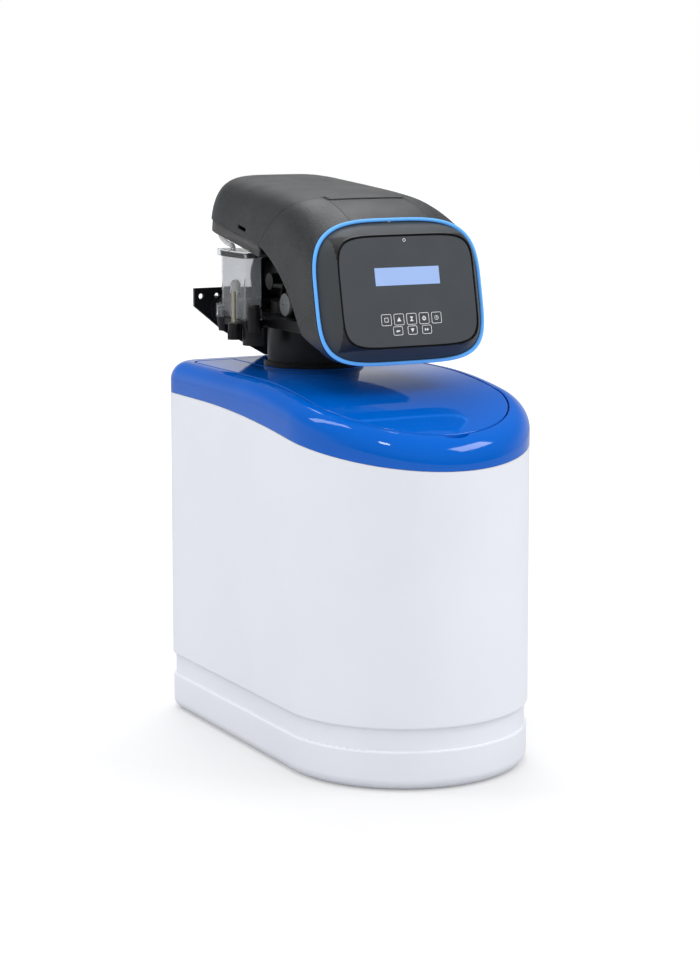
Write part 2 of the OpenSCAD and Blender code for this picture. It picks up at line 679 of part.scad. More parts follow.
drain_x = 74;
drain_y = tank_y + 40;
drain_z = bore_z - 10;
drain_start = 32;
drain_r = 8;
drain_bore_r = 4;
module drain_elbow() color([0.04, 0.04, 0.045]) translate([drain_x, drain_y, drain_z])
  difference() {
    union() {
      translate([drain_start - drain_x, 0, 0]) rotate([0, 90, 0])
        cylinder(r = drain_r, h = drain_x - drain_start);
      sphere(r = drain_r);
      rotate([-90, 0, 0]) cylinder(r = drain_r, h = 22);
      translate([0, 22, 0]) rotate([-90, 0, 0]) for (k = [0 : 3]) translate([0, 0, 4 * k])
        cylinder(r1 = 6.6, r2 = 5.6, h = 4);
    }
    rotate([-90, 0, 0]) cylinder(r = drain_bore_r, h = 50);
    translate([drain_start - drain_x - 1, 0, 0]) rotate([0, 90, 0])
      cylinder(r = drain_bore_r, h = drain_x - drain_start + 1);
  }

// Sight chamber on the left of the valve
chamber_r = 2.5;
// The chamber seen from above: square corners in front and a half round at the back
module chamber_outline(grow) {
  r = chamber_r + grow;
  w = chamber_w / 2 + grow;
  x = chamber_w / 2 - chamber_r;
  y = chamber_l / 2 - chamber_r;
  round_y = (chamber_l - chamber_w) / 2;
  translate([0, round_y]) circle(r = w);
  for (i = [-1, 1]) translate([i * x, -y]) circle(r = r, $fn = 48);
  translate([-w, -y]) square([2 * w, y + round_y]);
  translate([-x, -y - r]) square([2 * x, r + 1]);
}
boss_r = 8;
boss_at = [-7.5, 26, 0];
boss_h = 14.3;
cap_h = 7;
cap_skirt = 5;
hose_in = 17;
module at_chamber(z) translate([-chamber_x, chamber_y, z]) children();
module sight_chamber() color([0.85, 0.88, 0.9, 0.4]) at_chamber(chamber_z) {
  difference() {
    union() {
      linear_extrude(chamber_h) chamber_outline(0);
      translate(boss_at) cylinder(r = boss_r, h = boss_h);
    }
    translate([0, 0, 2]) linear_extrude(chamber_h) chamber_outline(-chamber_wall);
    translate(boss_at + [0, 0, 2]) cylinder(r = boss_r - 1.4, h = boss_h - 4);
  }
  translate([0, float_y, 1]) cylinder(r = 3.4, h = float_up + 6.8);
}

module sight_chamber_cap() color([0.85, 0.88, 0.9, 0.5]) at_chamber(chamber_top - cap_skirt) {
  difference() {
    linear_extrude(cap_skirt + 2) chamber_outline(chamber_cap_out);
    translate([0, 0, -1]) linear_extrude(cap_skirt + 1) chamber_outline(0);
    translate([0, hose_in, 0]) cylinder(r = hose_r - 1.2, h = cap_h + 9);
  }
}

module sight_chamber_seal() color([0.03, 0.03, 0.03])
  at_chamber(chamber_z + 2.1) translate(boss_at) difference() {
    cylinder(r = boss_r - 1.5, h = 6);
    translate([0, 0, -1]) cylinder(r = 2.5, h = 8);
  }

base_t = 7;
base_out = 0.6;
module sight_chamber_base() color([0.04, 0.04, 0.045]) {
  at_chamber(chamber_z - base_t) linear_extrude(base_t) chamber_outline(base_out);
  at_chamber(chamber_z - base_t - 8) translate(boss_at) cylinder(r1 = 5.4, r2 = 7.6, h = base_t + 8);
  translate([-chamber_x, chamber_y - 23, chamber_z - base_t])
    cube([chamber_x - base_flange_r, 10, base_t]);
}

float_y = 11;
float_up = 26.5;
module sight_float() color([0.9, 0.9, 0.88]) at_chamber(chamber_z + float_up)
  translate([0, float_y, 0])
  difference() {
    union() {
      cylinder(r = 5.6, h = 10);
      translate([0, 0, 10]) cylinder(r1 = 5.6, r2 = 3, h = 4);
    }
    translate([0, 0, -1]) cylinder(r = 3.9, h = 9);
  }

meter_out = 7;
meter_x = -chamber_x - chamber_w / 2 - meter_out;
meter_y = chamber_y - 20;
meter_h = 34;
module metering_tube() color([0.9, 0.92, 0.95, 0.5]) translate([meter_x, meter_y, chamber_z - 3])
  difference() {
    union() {
      cylinder(r = meter_r, h = meter_h);
      cylinder(r = meter_r + 2, h = 1.5);
    }
    translate([0, 0, 1]) cylinder(r = meter_r - 0.9, h = meter_h);
  }

module metering_rod() color([0.75, 0.62, 0.28]) translate([meter_x, meter_y, chamber_z - 2])
  cylinder(r = meter_r - 1.5, h = meter_h - 1);

module metering_fitting() color([0.04, 0.04, 0.045]) translate([meter_x, meter_y, chamber_z - 20]) {
  cylinder(r = 6.5, h = 10);
  translate([0, 0, 10]) cylinder(r = 6.2, h = 7);
  for (a = [0 : 45 : 315]) rotate(a) translate([6.2, -0.8, 0]) cube([0.9, 1.6, 9]);
  translate([0, -4, 10]) cube([meter_out - base_out, 8, 7]);
}

// A round body hung under the chamber's base, with a capped elbow standing in front of it
module brine_fitting() color([0.03, 0.03, 0.035]) at_chamber(chamber_z) {
  translate([2.5, -30, -base_t - 19]) cylinder(r = 13, h = 19);
  translate([-3.5, -41, -base_t - 4]) cylinder(r = 7.1, h = 26);
  translate([-3.5, -41, 22 - base_t]) cylinder(r1 = 7.1, r2 = 5, h = 3);
}

// The clear transfer tube, held between the chamber's cap and the tray over it
hose_points = [for (p = [[0, hose_in, 2], [0, hose_in, 3.6], [0, hose_in + 1.6, 5.4], [0.1, 23, 6.2],
  [0.4, 30, 6.9], [0.6, 37, 8.2], [0.8, 44.5, 10.8], [0.9, 49.4, 13.8], [1, 52, 18], [1, 52, 26]])
  [-chamber_x, chamber_y, chamber_top] + p];
hose_end = hose_points[len(hose_points) - 1];
function unit(v) = v / norm(v);
function tangent(p, i) = unit(p[min(i + 1, len(p) - 1)] - p[max(i - 1, 0)]);
function tube_row(p, i, r, sides) = let (t = tangent(p, i), u = [1, 0, 0], w = unit(cross(t, u)),
  v = cross(w, t)) [for (k = [0 : sides - 1]) let (a = 360 * k / sides)
  p[i] + r * (cos(a) * v + sin(a) * w)];
module transfer_tube() color([0.8, 0.82, 0.84])
  solid_loft([for (i = [0 : len(hose_points) - 1]) tube_row(hose_points, i, hose_r, 10)]);

// The brine hose, held between the riser in the well and the nipple under the valve's flange
nipple = [54, tank_y + 15];
nipple_z = collar_top - 8;
brine_points = concat([[well_x, well_y, riser_end], [well_x, well_y, riser_end + 25.5],
  [well_x + 1, well_y + 5, top_z - 39], [well_x + 2, well_y + 25, top_z - 31]],
  [for (p = [[78, -83, -28], [72, -33, -26], [61, 15, -24], [48, 52, -21], [42.6, 60, -14], [42, 62, -2],
  [43, 60, 9], [48, 44, 19], [53.4, 24, 24], [54, 15, 28]]) [0, tank_y, top_z] + p],
  [[nipple[0], nipple[1], nipple_z]]);
module brine_hose() color([0.85, 0.86, 0.88])
  solid_loft([for (i = [0 : len(brine_points) - 1]) tube_row(brine_points, i, hose_r, 8)]);

// Control head. Its frame stands at the middle of the light ring, with x to the right, y up
// the face and z out of it
head_y = tank_y - head_reach;
head_back = tank_y + head_behind;
head_z = bore_z + 1.3;
head_top = head_z + head_rise;
panel_drop = 2.4;
proud = 0.8;
module on_face() translate([0, head_y, head_z]) rotate([90 - face_tilt, 0, 0]) children();
module on_panel() on_face() translate([0, -panel_drop, bevel_depth]) children();

head_n = 3.5;
head_low_n = 4.4;
head_points = 52;
head_n_gain = 1.1;
head_back_hw = 92;
head_corner_r = 40;
head_top_r = 16;
head_ramp = 0.5;
head_turn = 6.5;
head_steps = [0, 0.02, 0.06, 0.12, 0.19, 0.27, 0.36, 0.46, 0.57, 0.69, 0.8, 0.86, 0.9, 0.935, 0.965,
  0.985, 0.997, 1];
head_run = head_back - head_y;
function falling(y, from, r) = y > from ? r - sqrt(max(0, r * r - pow(y - from, 2))) : 0;
function head_hw_at(y) = head_hw - (head_hw - head_back_hw) * min(1, (y - head_y) / 200)
  - falling(y, head_back - head_corner_r, head_corner_r);
function ring_top() = head_z + head_hh * cos(face_tilt);
function ring_top_y() = head_y + head_hh * sin(face_tilt);
function head_top_at(y) = let (crest = head_back - head_top_r,
  u = max(0, crest - y) / (crest - ring_top_y()))
  head_top - (head_top - ring_top()) * (head_ramp * u + (1 - head_ramp) * pow(u, head_turn))
  - falling(y, crest, head_top_r);
function head_section(step, inset) = let (
  y = head_y + step * (head_run - inset) - (step == 0 && inset > 0 ? 3 : 0),
  lean = tan(face_tilt) * pow(max(0, 1 - step / 0.3), 2), up = ring_top() - head_z,
  high = head_top_at(y + up * lean) - head_z - inset)
  [for (p = soft_box(head_hw_at(y) - inset, 1, head_n + head_n_gain * min(1, 3.5 * step), head_low_n,
  head_points))
  let (z = p[1] > 0 ? p[1] * high : p[1] * (up - inset)) [p[0], y + z * lean, head_z + z]];
module head_solid(inset, from = 0, to = 1)
  solid_loft([for (s = head_steps) if (s >= from && s <= to) head_section(s, inset)]);

// Side view zones of the head, drawn as y and z
edge_foot = [tank_y - 156, head_z - 43.3];
seam_foot = [tank_y - 55, head_z + 41.7];
seam_dir = [-57, 54] / 57;
edge_r = 170;
low_run = 132;
low_rise = 22;
side_out = 110;
zone_top = head_top + 49;
tray_h = 12.5;
cover_split = 0.6;
function seam_point(d, k) = seam_foot + k * seam_dir + [d, 0];
module side_zone() rotate([90, 0, 90]) translate([0, 0, -side_out]) linear_extrude(2 * side_out)
  children();
module front_zone() {
  mid = (edge_foot + seam_foot) / 2;
  chord = seam_foot - edge_foot;
  centre = mid + [chord[1], -chord[0]] / norm(chord) * sqrt(pow(edge_r, 2) - pow(norm(chord) / 2, 2));
  difference() {
    polygon([[head_y - side_out, top_z - 8], [head_y - 1.6, top_z - 8], [head_y + 2.4, head_z - 57],
      edge_foot, seam_foot, seam_point(0, 90), [head_y - side_out, zone_top]]);
    translate(centre) circle(r = edge_r, $fn = 360);
  }
}
function low_line(y, drop) = seam_foot[1] + low_rise * (y - seam_foot[0]) / low_run - drop;
module rear_zone() polygon([seam_point(cover_split, 0), [head_back + 5, low_line(head_back + 5, 0)],
  [head_back + 5, zone_top], seam_point(cover_split, side_out)]);
module tray_zone() polygon([[seam_foot[0], low_line(seam_foot[0], tray_h)],
  [head_back + 5, low_line(head_back + 5, tray_h)], [head_back + 5, low_line(head_back + 5, 0.2)],
  [seam_foot[0], low_line(seam_foot[0], 0.2)]]);

front_end = 0.57;
hatch_end = 0.46;
rear_start = 0.19;
tray_start = 0.36;
latch_y = tank_y - 12;
module rear_cover() color([0.25, 0.26, 0.28]) difference() {
  intersection() {
    head_solid(0, rear_start);
    side_zone() rear_zone();
  }
  head_solid(head_wall, rear_start);
  for (s = [-1, 1]) translate([s * head_hw - 12, latch_y, low_line(latch_y, -7.8)])
    rotate([atan(low_rise / low_run), 0, 0]) translate([0, -10, -2]) cube([24, 20, 4]);
}

// The flap in the top of the front cover, seen from above
hatch_back_hw = 43;
hatch_front_hw = 47;
hatch_gap = 0.4;
module hatch_zone(grow) translate([0, 0, head_z + 50]) linear_extrude(90) {
  a = hatch_front_hw + grow;
  b = hatch_back_hw + grow;
  y = tank_y - 103;
  polygon([[-a, ring_top_y() - 30], [a, ring_top_y() - 30], [a, ring_top_y()], [b, y], [b, y + 60],
    [-b, y + 60], [-b, y], [-a, ring_top_y()]]);
}
module front_shell(to) difference() {
  intersection() {
    head_solid(0, 0, to);
    side_zone() front_zone();
  }
  head_solid(head_wall, 0, to);
}
module front_cover() color([0.25, 0.26, 0.28]) difference() {
  front_shell(front_end);
  hatch_zone(hatch_gap);
}
module top_hatch() color([0.25, 0.26, 0.28]) intersection() {
  front_shell(hatch_end);
  hatch_zone(0);
}

tray_floor = 3;
tray_in = 1.4;
saddle_w = 40;
module control_tray() color([0.33, 0.33, 0.34]) {
  difference() {
    intersection() {
      head_solid(tray_in, tray_start);
      side_zone() tray_zone();
    }
    intersection() {
      head_solid(tray_in + head_wall, tray_start);
      side_zone() translate([0, tray_floor]) tray_zone();
    }
    translate([hose_end[0], hose_end[1], head_z]) cylinder(r = hose_r + 0.3, h = 60);
  }
  difference() {
    for (y = [tank_y - 31, tank_y + 33]) translate([-saddle_w / 2, y, bore_z]) rotate([90, 0, 90])
      linear_extrude(saddle_w) polygon([[0, 0], [6, 0], [6, low_line(y + 6, tray_h) - bore_z + 1],
        [0, low_line(y, tray_h) - bore_z + 1]]);
    translate([0, valve_front, bore_z]) rotate([-90, 0, 0]) cylinder(r = barrel_r, h = valve_back);
  }
}

ring_in = 1.8;
ring_out_w = 2.5;
ring_points = 56;
ring_sides = 6;
module light_ring() color([0.45, 0.72, 1]) on_face() {
  w = head_hw - ring_in;
  h = head_hh - ring_in;
  ring_loft([for (k = [0 : ring_sides - 1]) let (a = 360 * k / ring_sides)
    [for (p = soft_box(w + ring_r * cos(a), h + ring_r * cos(a), head_n, head_low_n, ring_points))
    [p[0], p[1], ring_out_w + ring_r * sin(a)]]]);
}

bezel_t = 2.4;
bezel_n = 56;
panel_n = 6;
// A row of the bezel: 0 at the light ring to 1 at the panel's groove, grown and raised
bezel_in = ring_in + ring_r + 0.2;
bezel_fit = 1.6;
function bezel_row(f, grow, z) = let (w0 = head_hw - bezel_in, h0 = head_hh - bezel_in,
  w1 = panel_hw + panel_gap, h1 = panel_hh + panel_gap)
  [for (p = soft_box(w0 + (w1 - w0) * f + grow, h0 + (h1 - h0) * f + grow, head_n + (panel_n - head_n) * f,
  head_low_n + (panel_n - head_low_n) * f, bezel_n)) [p[0], p[1] - panel_drop * f, z]];
function bezel_bevel(a, t) = let (top = bevel_depth + proud - 5)
  bezel_row(1 - cos(a), -t * (1 - sin(a)), 5 + top * sin(a) - t * sin(a));
module bezel() color([0.29, 0.3, 0.31]) on_face() {
  floor_z = bevel_depth - panel_t;
  spigot = bezel_in - head_wall - bezel_fit;
  ring_loft(concat([bezel_row(0, spigot, -4), bezel_row(0, spigot, -0.1), bezel_row(0, 0, 0)],
    [for (a = [0 : 15 : 90]) bezel_bevel(a, 0)],
    [bezel_row(1, 0, floor_z), bezel_row(1, -panel_gap - 6, floor_z),
     bezel_row(1, -panel_gap - 6, floor_z - 2), bezel_row(1, bezel_t, floor_z - 2)],
    [for (a = [66 : -22 : 0]) bezel_bevel(a, bezel_t)],
    [bezel_row(0, -bezel_t, 0), bezel_row(0, spigot - bezel_t, -4)]));
}

key_h = key_w;
key_low_w = key_w - 0.6;
key_low_v = key_v + key_w / 2 + key_low_h / 2 + 0.7;
// Each key: column, height on the panel, width and height
KEYS = [[-2, -key_v, key_w, key_h], [-1, -key_v, key_w, key_h], [0, -key_v, key_w, key_h],
  [1, -key_v, key_w, key_h], [2, -key_v, key_w, key_h], [-1.15, -key_low_v, key_low_w, key_low_h],
  [0, -key_low_v, key_low_w, key_low_h], [1.15, -key_low_v, key_low_w, key_low_h]];
key_corner = 1.8;
module key_outline(k, grow) translate([k[0] * key_pitch, k[1]]) {
  w = k[2] + 2 * grow;
  h = k[3] + 2 * grow;
  r = key_corner + grow;
  square([w, h - 2 * r], center = true);
  square([w - 2 * r, h], center = true);
  for (i = [-1, 1]) for (j = [-1, 1]) translate([i * (w / 2 - r), j * (h / 2 - r)])
    circle(r = r, $fn = 32);
}

key_flange = 0.8;
key_back_t = 0.65;
module key(i) color([0.32, 0.34, 0.36]) on_panel() {
  k = KEYS[i];
  translate([0, 0, -panel_t]) linear_extrude(panel_t) key_outline(k, 0);
  translate([k[0] * key_pitch - k[2] / 2 - key_flange, k[1] - k[3] / 2 + key_corner,
    -panel_t - key_back_t]) cube([k[2] + 2 * key_flange, k[3] - 2 * key_corner, key_back_t - 0.05]);
  translate([0, 0, -panel_t - key_back_t]) linear_extrude(key_back_t) key_outline(k, -0.01);
}

window_t = 1.2;
lamp_in = 3.7;
lamp_r = 1;
module control_panel() color([0.33, 0.35, 0.37]) on_panel() difference() {
  translate([0, 0, -panel_t]) linear_extrude(panel_t)
    polygon(soft_box(panel_hw, panel_hh, panel_n, panel_n, 72));
  translate([-lcd_w / 2, lcd_v - lcd_h / 2, -window_t]) cube([lcd_w, lcd_h, 5]);
  translate([-lcd_w / 2 + 1, lcd_v - lcd_h / 2 + 1, -panel_t - 1]) cube([lcd_w - 2, lcd_h - 2, 9]);
  translate([0, 0, -panel_t - 1]) linear_extrude(9) for (k = KEYS) key_outline(k, key_clear);
  translate([0, panel_hh - lamp_in, -panel_t - 1]) cylinder(r = lamp_r, h = 9, $fn = 32);
}

module display_window() color([0.63, 0.72, 0.9]) on_panel()
  translate([-lcd_w / 2 + 0.1, lcd_v - lcd_h / 2 + 0.1, -window_t])
  cube([lcd_w - 0.2, lcd_h - 0.2, window_t]);

board_w = 2 * panel_hw - 7;
board_h = 2 * panel_hh - 7.4;
board_t = 1.6;
board_z = -panel_t - key_back_t - key_travel - 0.85;
// The board lies against the bezel's inner ledge, with the display module on its front
module circuit_board() color([0.05, 0.3, 0.15]) on_panel() {
  translate([-board_w / 2, -board_h / 2, board_z - board_t]) cube([board_w, board_h, board_t]);
  translate([-40, lcd_v - 15, board_z]) cube([80, 30, -board_z - panel_t - 0.1]);
  for (p = [[-45, -20, 12], [40, 26, 9], [52, -28, 7], [-20, 30, 6]])
    translate([p[0], p[1], board_z - board_t - p[2]]) cylinder(r = 5, h = p[2]);
}

// Drive
axis_gap = gear_m * (gear_teeth + pinion_teeth) / 2;
plate_y = valve_front - 3;
gear_y = plate_y - 3 - gear_w;
function involute_point(rb, r) = let (t = sqrt(max(0, r * r / (rb * rb) - 1))) t * 180 / PI - atan(t);
// Half angle of a tooth at radius r, with backlash taken off each flank
function half_tooth(z, r) = let (rp = gear_m * z / 2, rb = rp * cos(20))
  90 / z - 0.16 / rp * 180 / PI + involute_point(rb, rp) - involute_point(rb, max(r, rb));
function tooth(z, k, odd) = let (rp = gear_m * z / 2, ro = rp + 0.85 * gear_m, rr = rp - 1.15 * gear_m,
  c = 360 * (k + odd) / z, rs = [rr, (rr + rp) / 2, rp, (rp + ro) / 2, ro]) concat(
  [for (i = [0 : 4]) let (a = c - half_tooth(z, rs[i])) rs[i] * [cos(a), sin(a)]],
  [for (i = [4 : -1 : 0]) let (a = c + half_tooth(z, rs[i])) rs[i] * [cos(a), sin(a)]]);
module gear_outline(z, odd) polygon([for (k = [0 : z - 1]) for (p = tooth(z, k, odd)) p]);

module along_y(y) translate([0, y, bore_z]) rotate([-90, 0, 0]) children();
sleeve_r = rod_r + 3;
module drive_gear() color([0.9, 0.9, 0.86]) along_y(gear_y) difference() {
  linear_extrude(gear_w) rotate(-90) gear_outline(gear_teeth, 0);
  translate([0, 0, -1]) cylinder(r = sleeve_r + run_clear, h = gear_w + 2);
  for (a = [30 : 60 : 330]) rotate(a) translate([19, 0, -1]) cylinder(r = 5.5, h = gear_w + 2);
}

shaft_r = 2.5;
module motor_pinion() color([0.9, 0.9, 0.86]) along_y(gear_y) translate([0, -axis_gap, 0]) {
  linear_extrude(gear_w) rotate(90) gear_outline(pinion_teeth, 0.5);
  translate([0, 0, -12]) cylinder(r = shaft_r, h = gear_w + 17);
}

module drive_plate() color([0.06, 0.06, 0.065]) along_y(plate_y) difference() {
  union() {
    linear_extrude(3) {
      circle(r = 34);
      translate([-30, -axis_gap - 18]) square([60, axis_gap + 18]);
    }
    translate([0, 0, -gear_w - 4]) cylinder(r = sleeve_r, h = gear_w + 5);
    for (s = [-1, 1]) translate([s * 24, -axis_gap, -gear_w - 10]) cylinder(r = 3.5, h = gear_w + 11);
  }
  translate([0, 0, -gear_w - 10]) cylinder(r = rod_r + run_clear, h = gear_w + 20);
  translate([0, -axis_gap, -1]) cylinder(r = shaft_r + run_clear, h = 6);
}

module drive_motor() color([0.55, 0.56, 0.58]) along_y(plate_y - gear_w - 10) translate([0, -axis_gap, 0])
  difference() {
    union() {
      translate([0, 0, -2]) linear_extrude(2) {
        circle(r = motor_r);
        square([56, 12], center = true);
      }
      translate([0, 0, -38]) cylinder(r = motor_r, h = 37);
      translate([0, 0, -42]) cylinder(r = 6, h = 5);
    }
    translate([0, 0, -12]) cylinder(r = shaft_r + run_clear, h = 20);
  }

module piston() color([0.8, 0.8, 0.82]) translate([0, 0, bore_z]) {
  translate([0, piston_front, 0]) rotate([-90, 0, 0]) difference() {
    cylinder(r = bore_r - run_clear, h = piston_len);
    for (z = [8, 24, 40]) translate([0, 0, z]) difference() {
      cylinder(r = bore_r + 1, h = 5);
      translate([0, 0, -1]) cylinder(r = bore_r - 3, h = 7);
    }
  }
  translate([0, gear_y - 40, 0]) rotate([-90, 0, 0]) cylinder(r = rod_r, h = piston_front - gear_y + 40);
}

screw_lean = atan(low_rise / low_run);
module cover_screws() color([0.6, 0.6, 0.62]) for (s = [-1, 1]) for (y = [tank_y - 33, tank_y + 47])
  translate([s * 62, y, low_line(y, tray_h)]) rotate([screw_lean, 0, 0]) translate([0, 0, -2])
  cylinder(r = 3.2, h = 2);

cabinet();
top_cover();
neck_surround();
lid_hinge_brackets();
lid_hinge_pins();
salt_lid();
lid_hinge_lugs();
mineral_tank();
tank_foot();
riser_tube();
bottom_strainer();
top_strainer();
tank_seal();
brine_well();
brine_well_cap();
brine_riser();
brine_float();
overflow_elbow();
overflow_nut();
brine_hose();
tank_collar();
valve_body();
valve_end_cap();
side_plug();
injector_cap();
pipe_bracket();
drain_elbow();
sight_chamber();
sight_chamber_cap();
sight_chamber_seal();
sight_chamber_base();
sight_float();
metering_tube();
metering_rod();
metering_fitting();
brine_fitting();
transfer_tube();
piston();
drive_gear();
motor_pinion();
drive_plate();
drive_motor();
control_tray();
rear_cover();
front_cover();
top_hatch();
light_ring();
bezel();
control_panel();
display_window();
circuit_board();
cover_screws();
key(0);  // key_menu
key(1);  // key_up
key(2);  // key_hold
key(3);  // key_set
key(4);  // key_clock
key(5);  // key_back
key(6);  // key_down
key(7);  // key_next
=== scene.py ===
"""Looks of a compact cabinet water softener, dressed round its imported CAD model.

The row frame: +Z up, +X to the right of someone who faces the display, the front faces -Y, and
the origin is on the floor at the middle of the cabinet's base. Shapes are written in millimetres
and become metres where a mesh is made.
"""

import json
import math

import bmesh
import bpy
from mathutils import Matrix, Vector


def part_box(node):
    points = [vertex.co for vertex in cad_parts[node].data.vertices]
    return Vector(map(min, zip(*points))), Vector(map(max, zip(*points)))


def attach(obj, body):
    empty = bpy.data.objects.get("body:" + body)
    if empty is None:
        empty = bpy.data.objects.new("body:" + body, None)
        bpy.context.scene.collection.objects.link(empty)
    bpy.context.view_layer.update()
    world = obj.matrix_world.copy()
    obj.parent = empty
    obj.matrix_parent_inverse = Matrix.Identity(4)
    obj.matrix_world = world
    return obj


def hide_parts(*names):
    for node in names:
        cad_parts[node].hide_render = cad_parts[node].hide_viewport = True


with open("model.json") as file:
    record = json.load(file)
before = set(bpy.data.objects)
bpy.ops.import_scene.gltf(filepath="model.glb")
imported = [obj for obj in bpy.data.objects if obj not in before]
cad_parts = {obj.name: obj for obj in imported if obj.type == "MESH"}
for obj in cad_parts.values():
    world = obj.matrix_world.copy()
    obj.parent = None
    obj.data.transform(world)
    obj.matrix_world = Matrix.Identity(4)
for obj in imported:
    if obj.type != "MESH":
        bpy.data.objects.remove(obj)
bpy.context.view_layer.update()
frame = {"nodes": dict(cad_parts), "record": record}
NODES = frame["nodes"]
MM = 0.001
ROOT = "housing"


def high(node):
    """Highest corner of a CAD node, in millimetres."""
    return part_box(node)[1] / MM


# Driving sizes, in millimetres, as in the part's source
BODY_W = 2 * high("cabinet").x
BODY_D = 444.0
HALF_W = BODY_W / 2
FRONT_Y, BACK_Y = -BODY_D / 2, BODY_D / 2
ARC_Y = FRONT_Y + HALF_W
CORNER_R = 38.0
TANK_Y = BACK_Y - 119.0
SEAM_Z, SEAM_R, SEAM_Y = 354.5, 1550.0, 118.0
TOP_Z, TOP_R, TOP_Y = 388.0, 678.0, 23.0
BORE_Z = TOP_Z + 92.0
HEAD_HW, HEAD_HH, HEAD_TOP = 96.5, 74.5, BORE_Z + 110.0
HEAD_Y, HEAD_Z, HEAD_BACK = -84.4, BORE_Z + 1.3, 200.0
HEAD_WALL = 2.5
TILT = math.radians(11.6)
BEVEL_DEPTH = 21.7
PANEL_HW, PANEL_HH, PANEL_DROP = 76.0, 55.2, 2.4


# Mesh tools


def new_object(name, data):
    obj = bpy.data.objects.new(name, data)
    bpy.context.scene.collection.objects.link(obj)
    return obj


def mesh_object(name, points, faces, scale=MM):
    mesh = bpy.data.meshes.new(name)
    mesh.from_pydata([Vector(p) * scale for p in points], [], faces)
    mesh.validate()
    obj = new_object(name, mesh)
    bm = bmesh.new()
    bm.from_mesh(mesh)
    bmesh.ops.recalc_face_normals(bm, faces=bm.faces)
    bm.to_mesh(mesh)
    bm.free()
    return obj


def loft(name, rows, closed=False, scale=MM):
    """A surface through rows of points that run round; closed joins the last row to the first."""
    count, n = len(rows), len(rows[0])
    points = [p for row in rows for p in row]
    faces = []
    for j in range(count if closed else count - 1):
        k = (j + 1) % count
        for i in range(n):
            m = (i + 1) % n
            faces.append((j * n + i, j * n + m, k * n + m, k * n + i))
    if not closed:
        faces.append(tuple(range(n - 1, -1, -1)))
        faces.append(tuple((count - 1) * n + i for i in range(n)))
    return mesh_object(name, points, faces, scale)


def prism(name, outline, start, end, place=None):
    """A solid between two heights over an outline, put in its place by a matrix in millimetres."""
    n = len(outline)
    points = [Vector((x, y, z)) for z in (start, end) for x, y in outline]
    if place is not None:
        points = [place @ p for p in points]
    faces = [tuple(range(n - 1, -1, -1)), tuple(range(n, 2 * n))]
    faces += [(i, (i + 1) % n, n + (i + 1) % n, n + i) for i in range(n)]
    return mesh_object(name, points, faces)


def baked(obj):
    """Replaces an object's mesh by what its modifiers make of it."""
    graph = bpy.context.evaluated_depsgraph_get()
    done = bpy.data.meshes.new_from_object(obj.evaluated_get(graph))
    obj.modifiers.clear()
    obj.data = done
    return obj


def boolean(obj, tool, operation="DIFFERENCE"):
    mod = obj.modifiers.new("cut", "BOOLEAN")
    mod.operation = operation
    mod.solver = "EXACT"
    mod.object = tool
    baked(obj)
    bpy.data.objects.remove(tool)
    return obj


def soften(obj, width=0.4, segments=2, angle=35):
    """Rounds an object's sharp edges and shades the rest smooth."""
    obj.data.shade_smooth()
    if width:
        mod = obj.modifiers.new("edges", "BEVEL")
        mod.width = width * MM
        mod.segments = segments
        mod.limit_method = "ANGLE"
        mod.angle_limit = math.radians(angle)
        mod.miter_outer = "MITER_ARC"
    weigh = obj.modifiers.new("normals", "WEIGHTED_NORMAL")
    weigh.keep_sharp = True
    weigh.weight = 60
    return obj


# Materials

NOISE_LOW, NOISE_HIGH = 0.3, 0.7


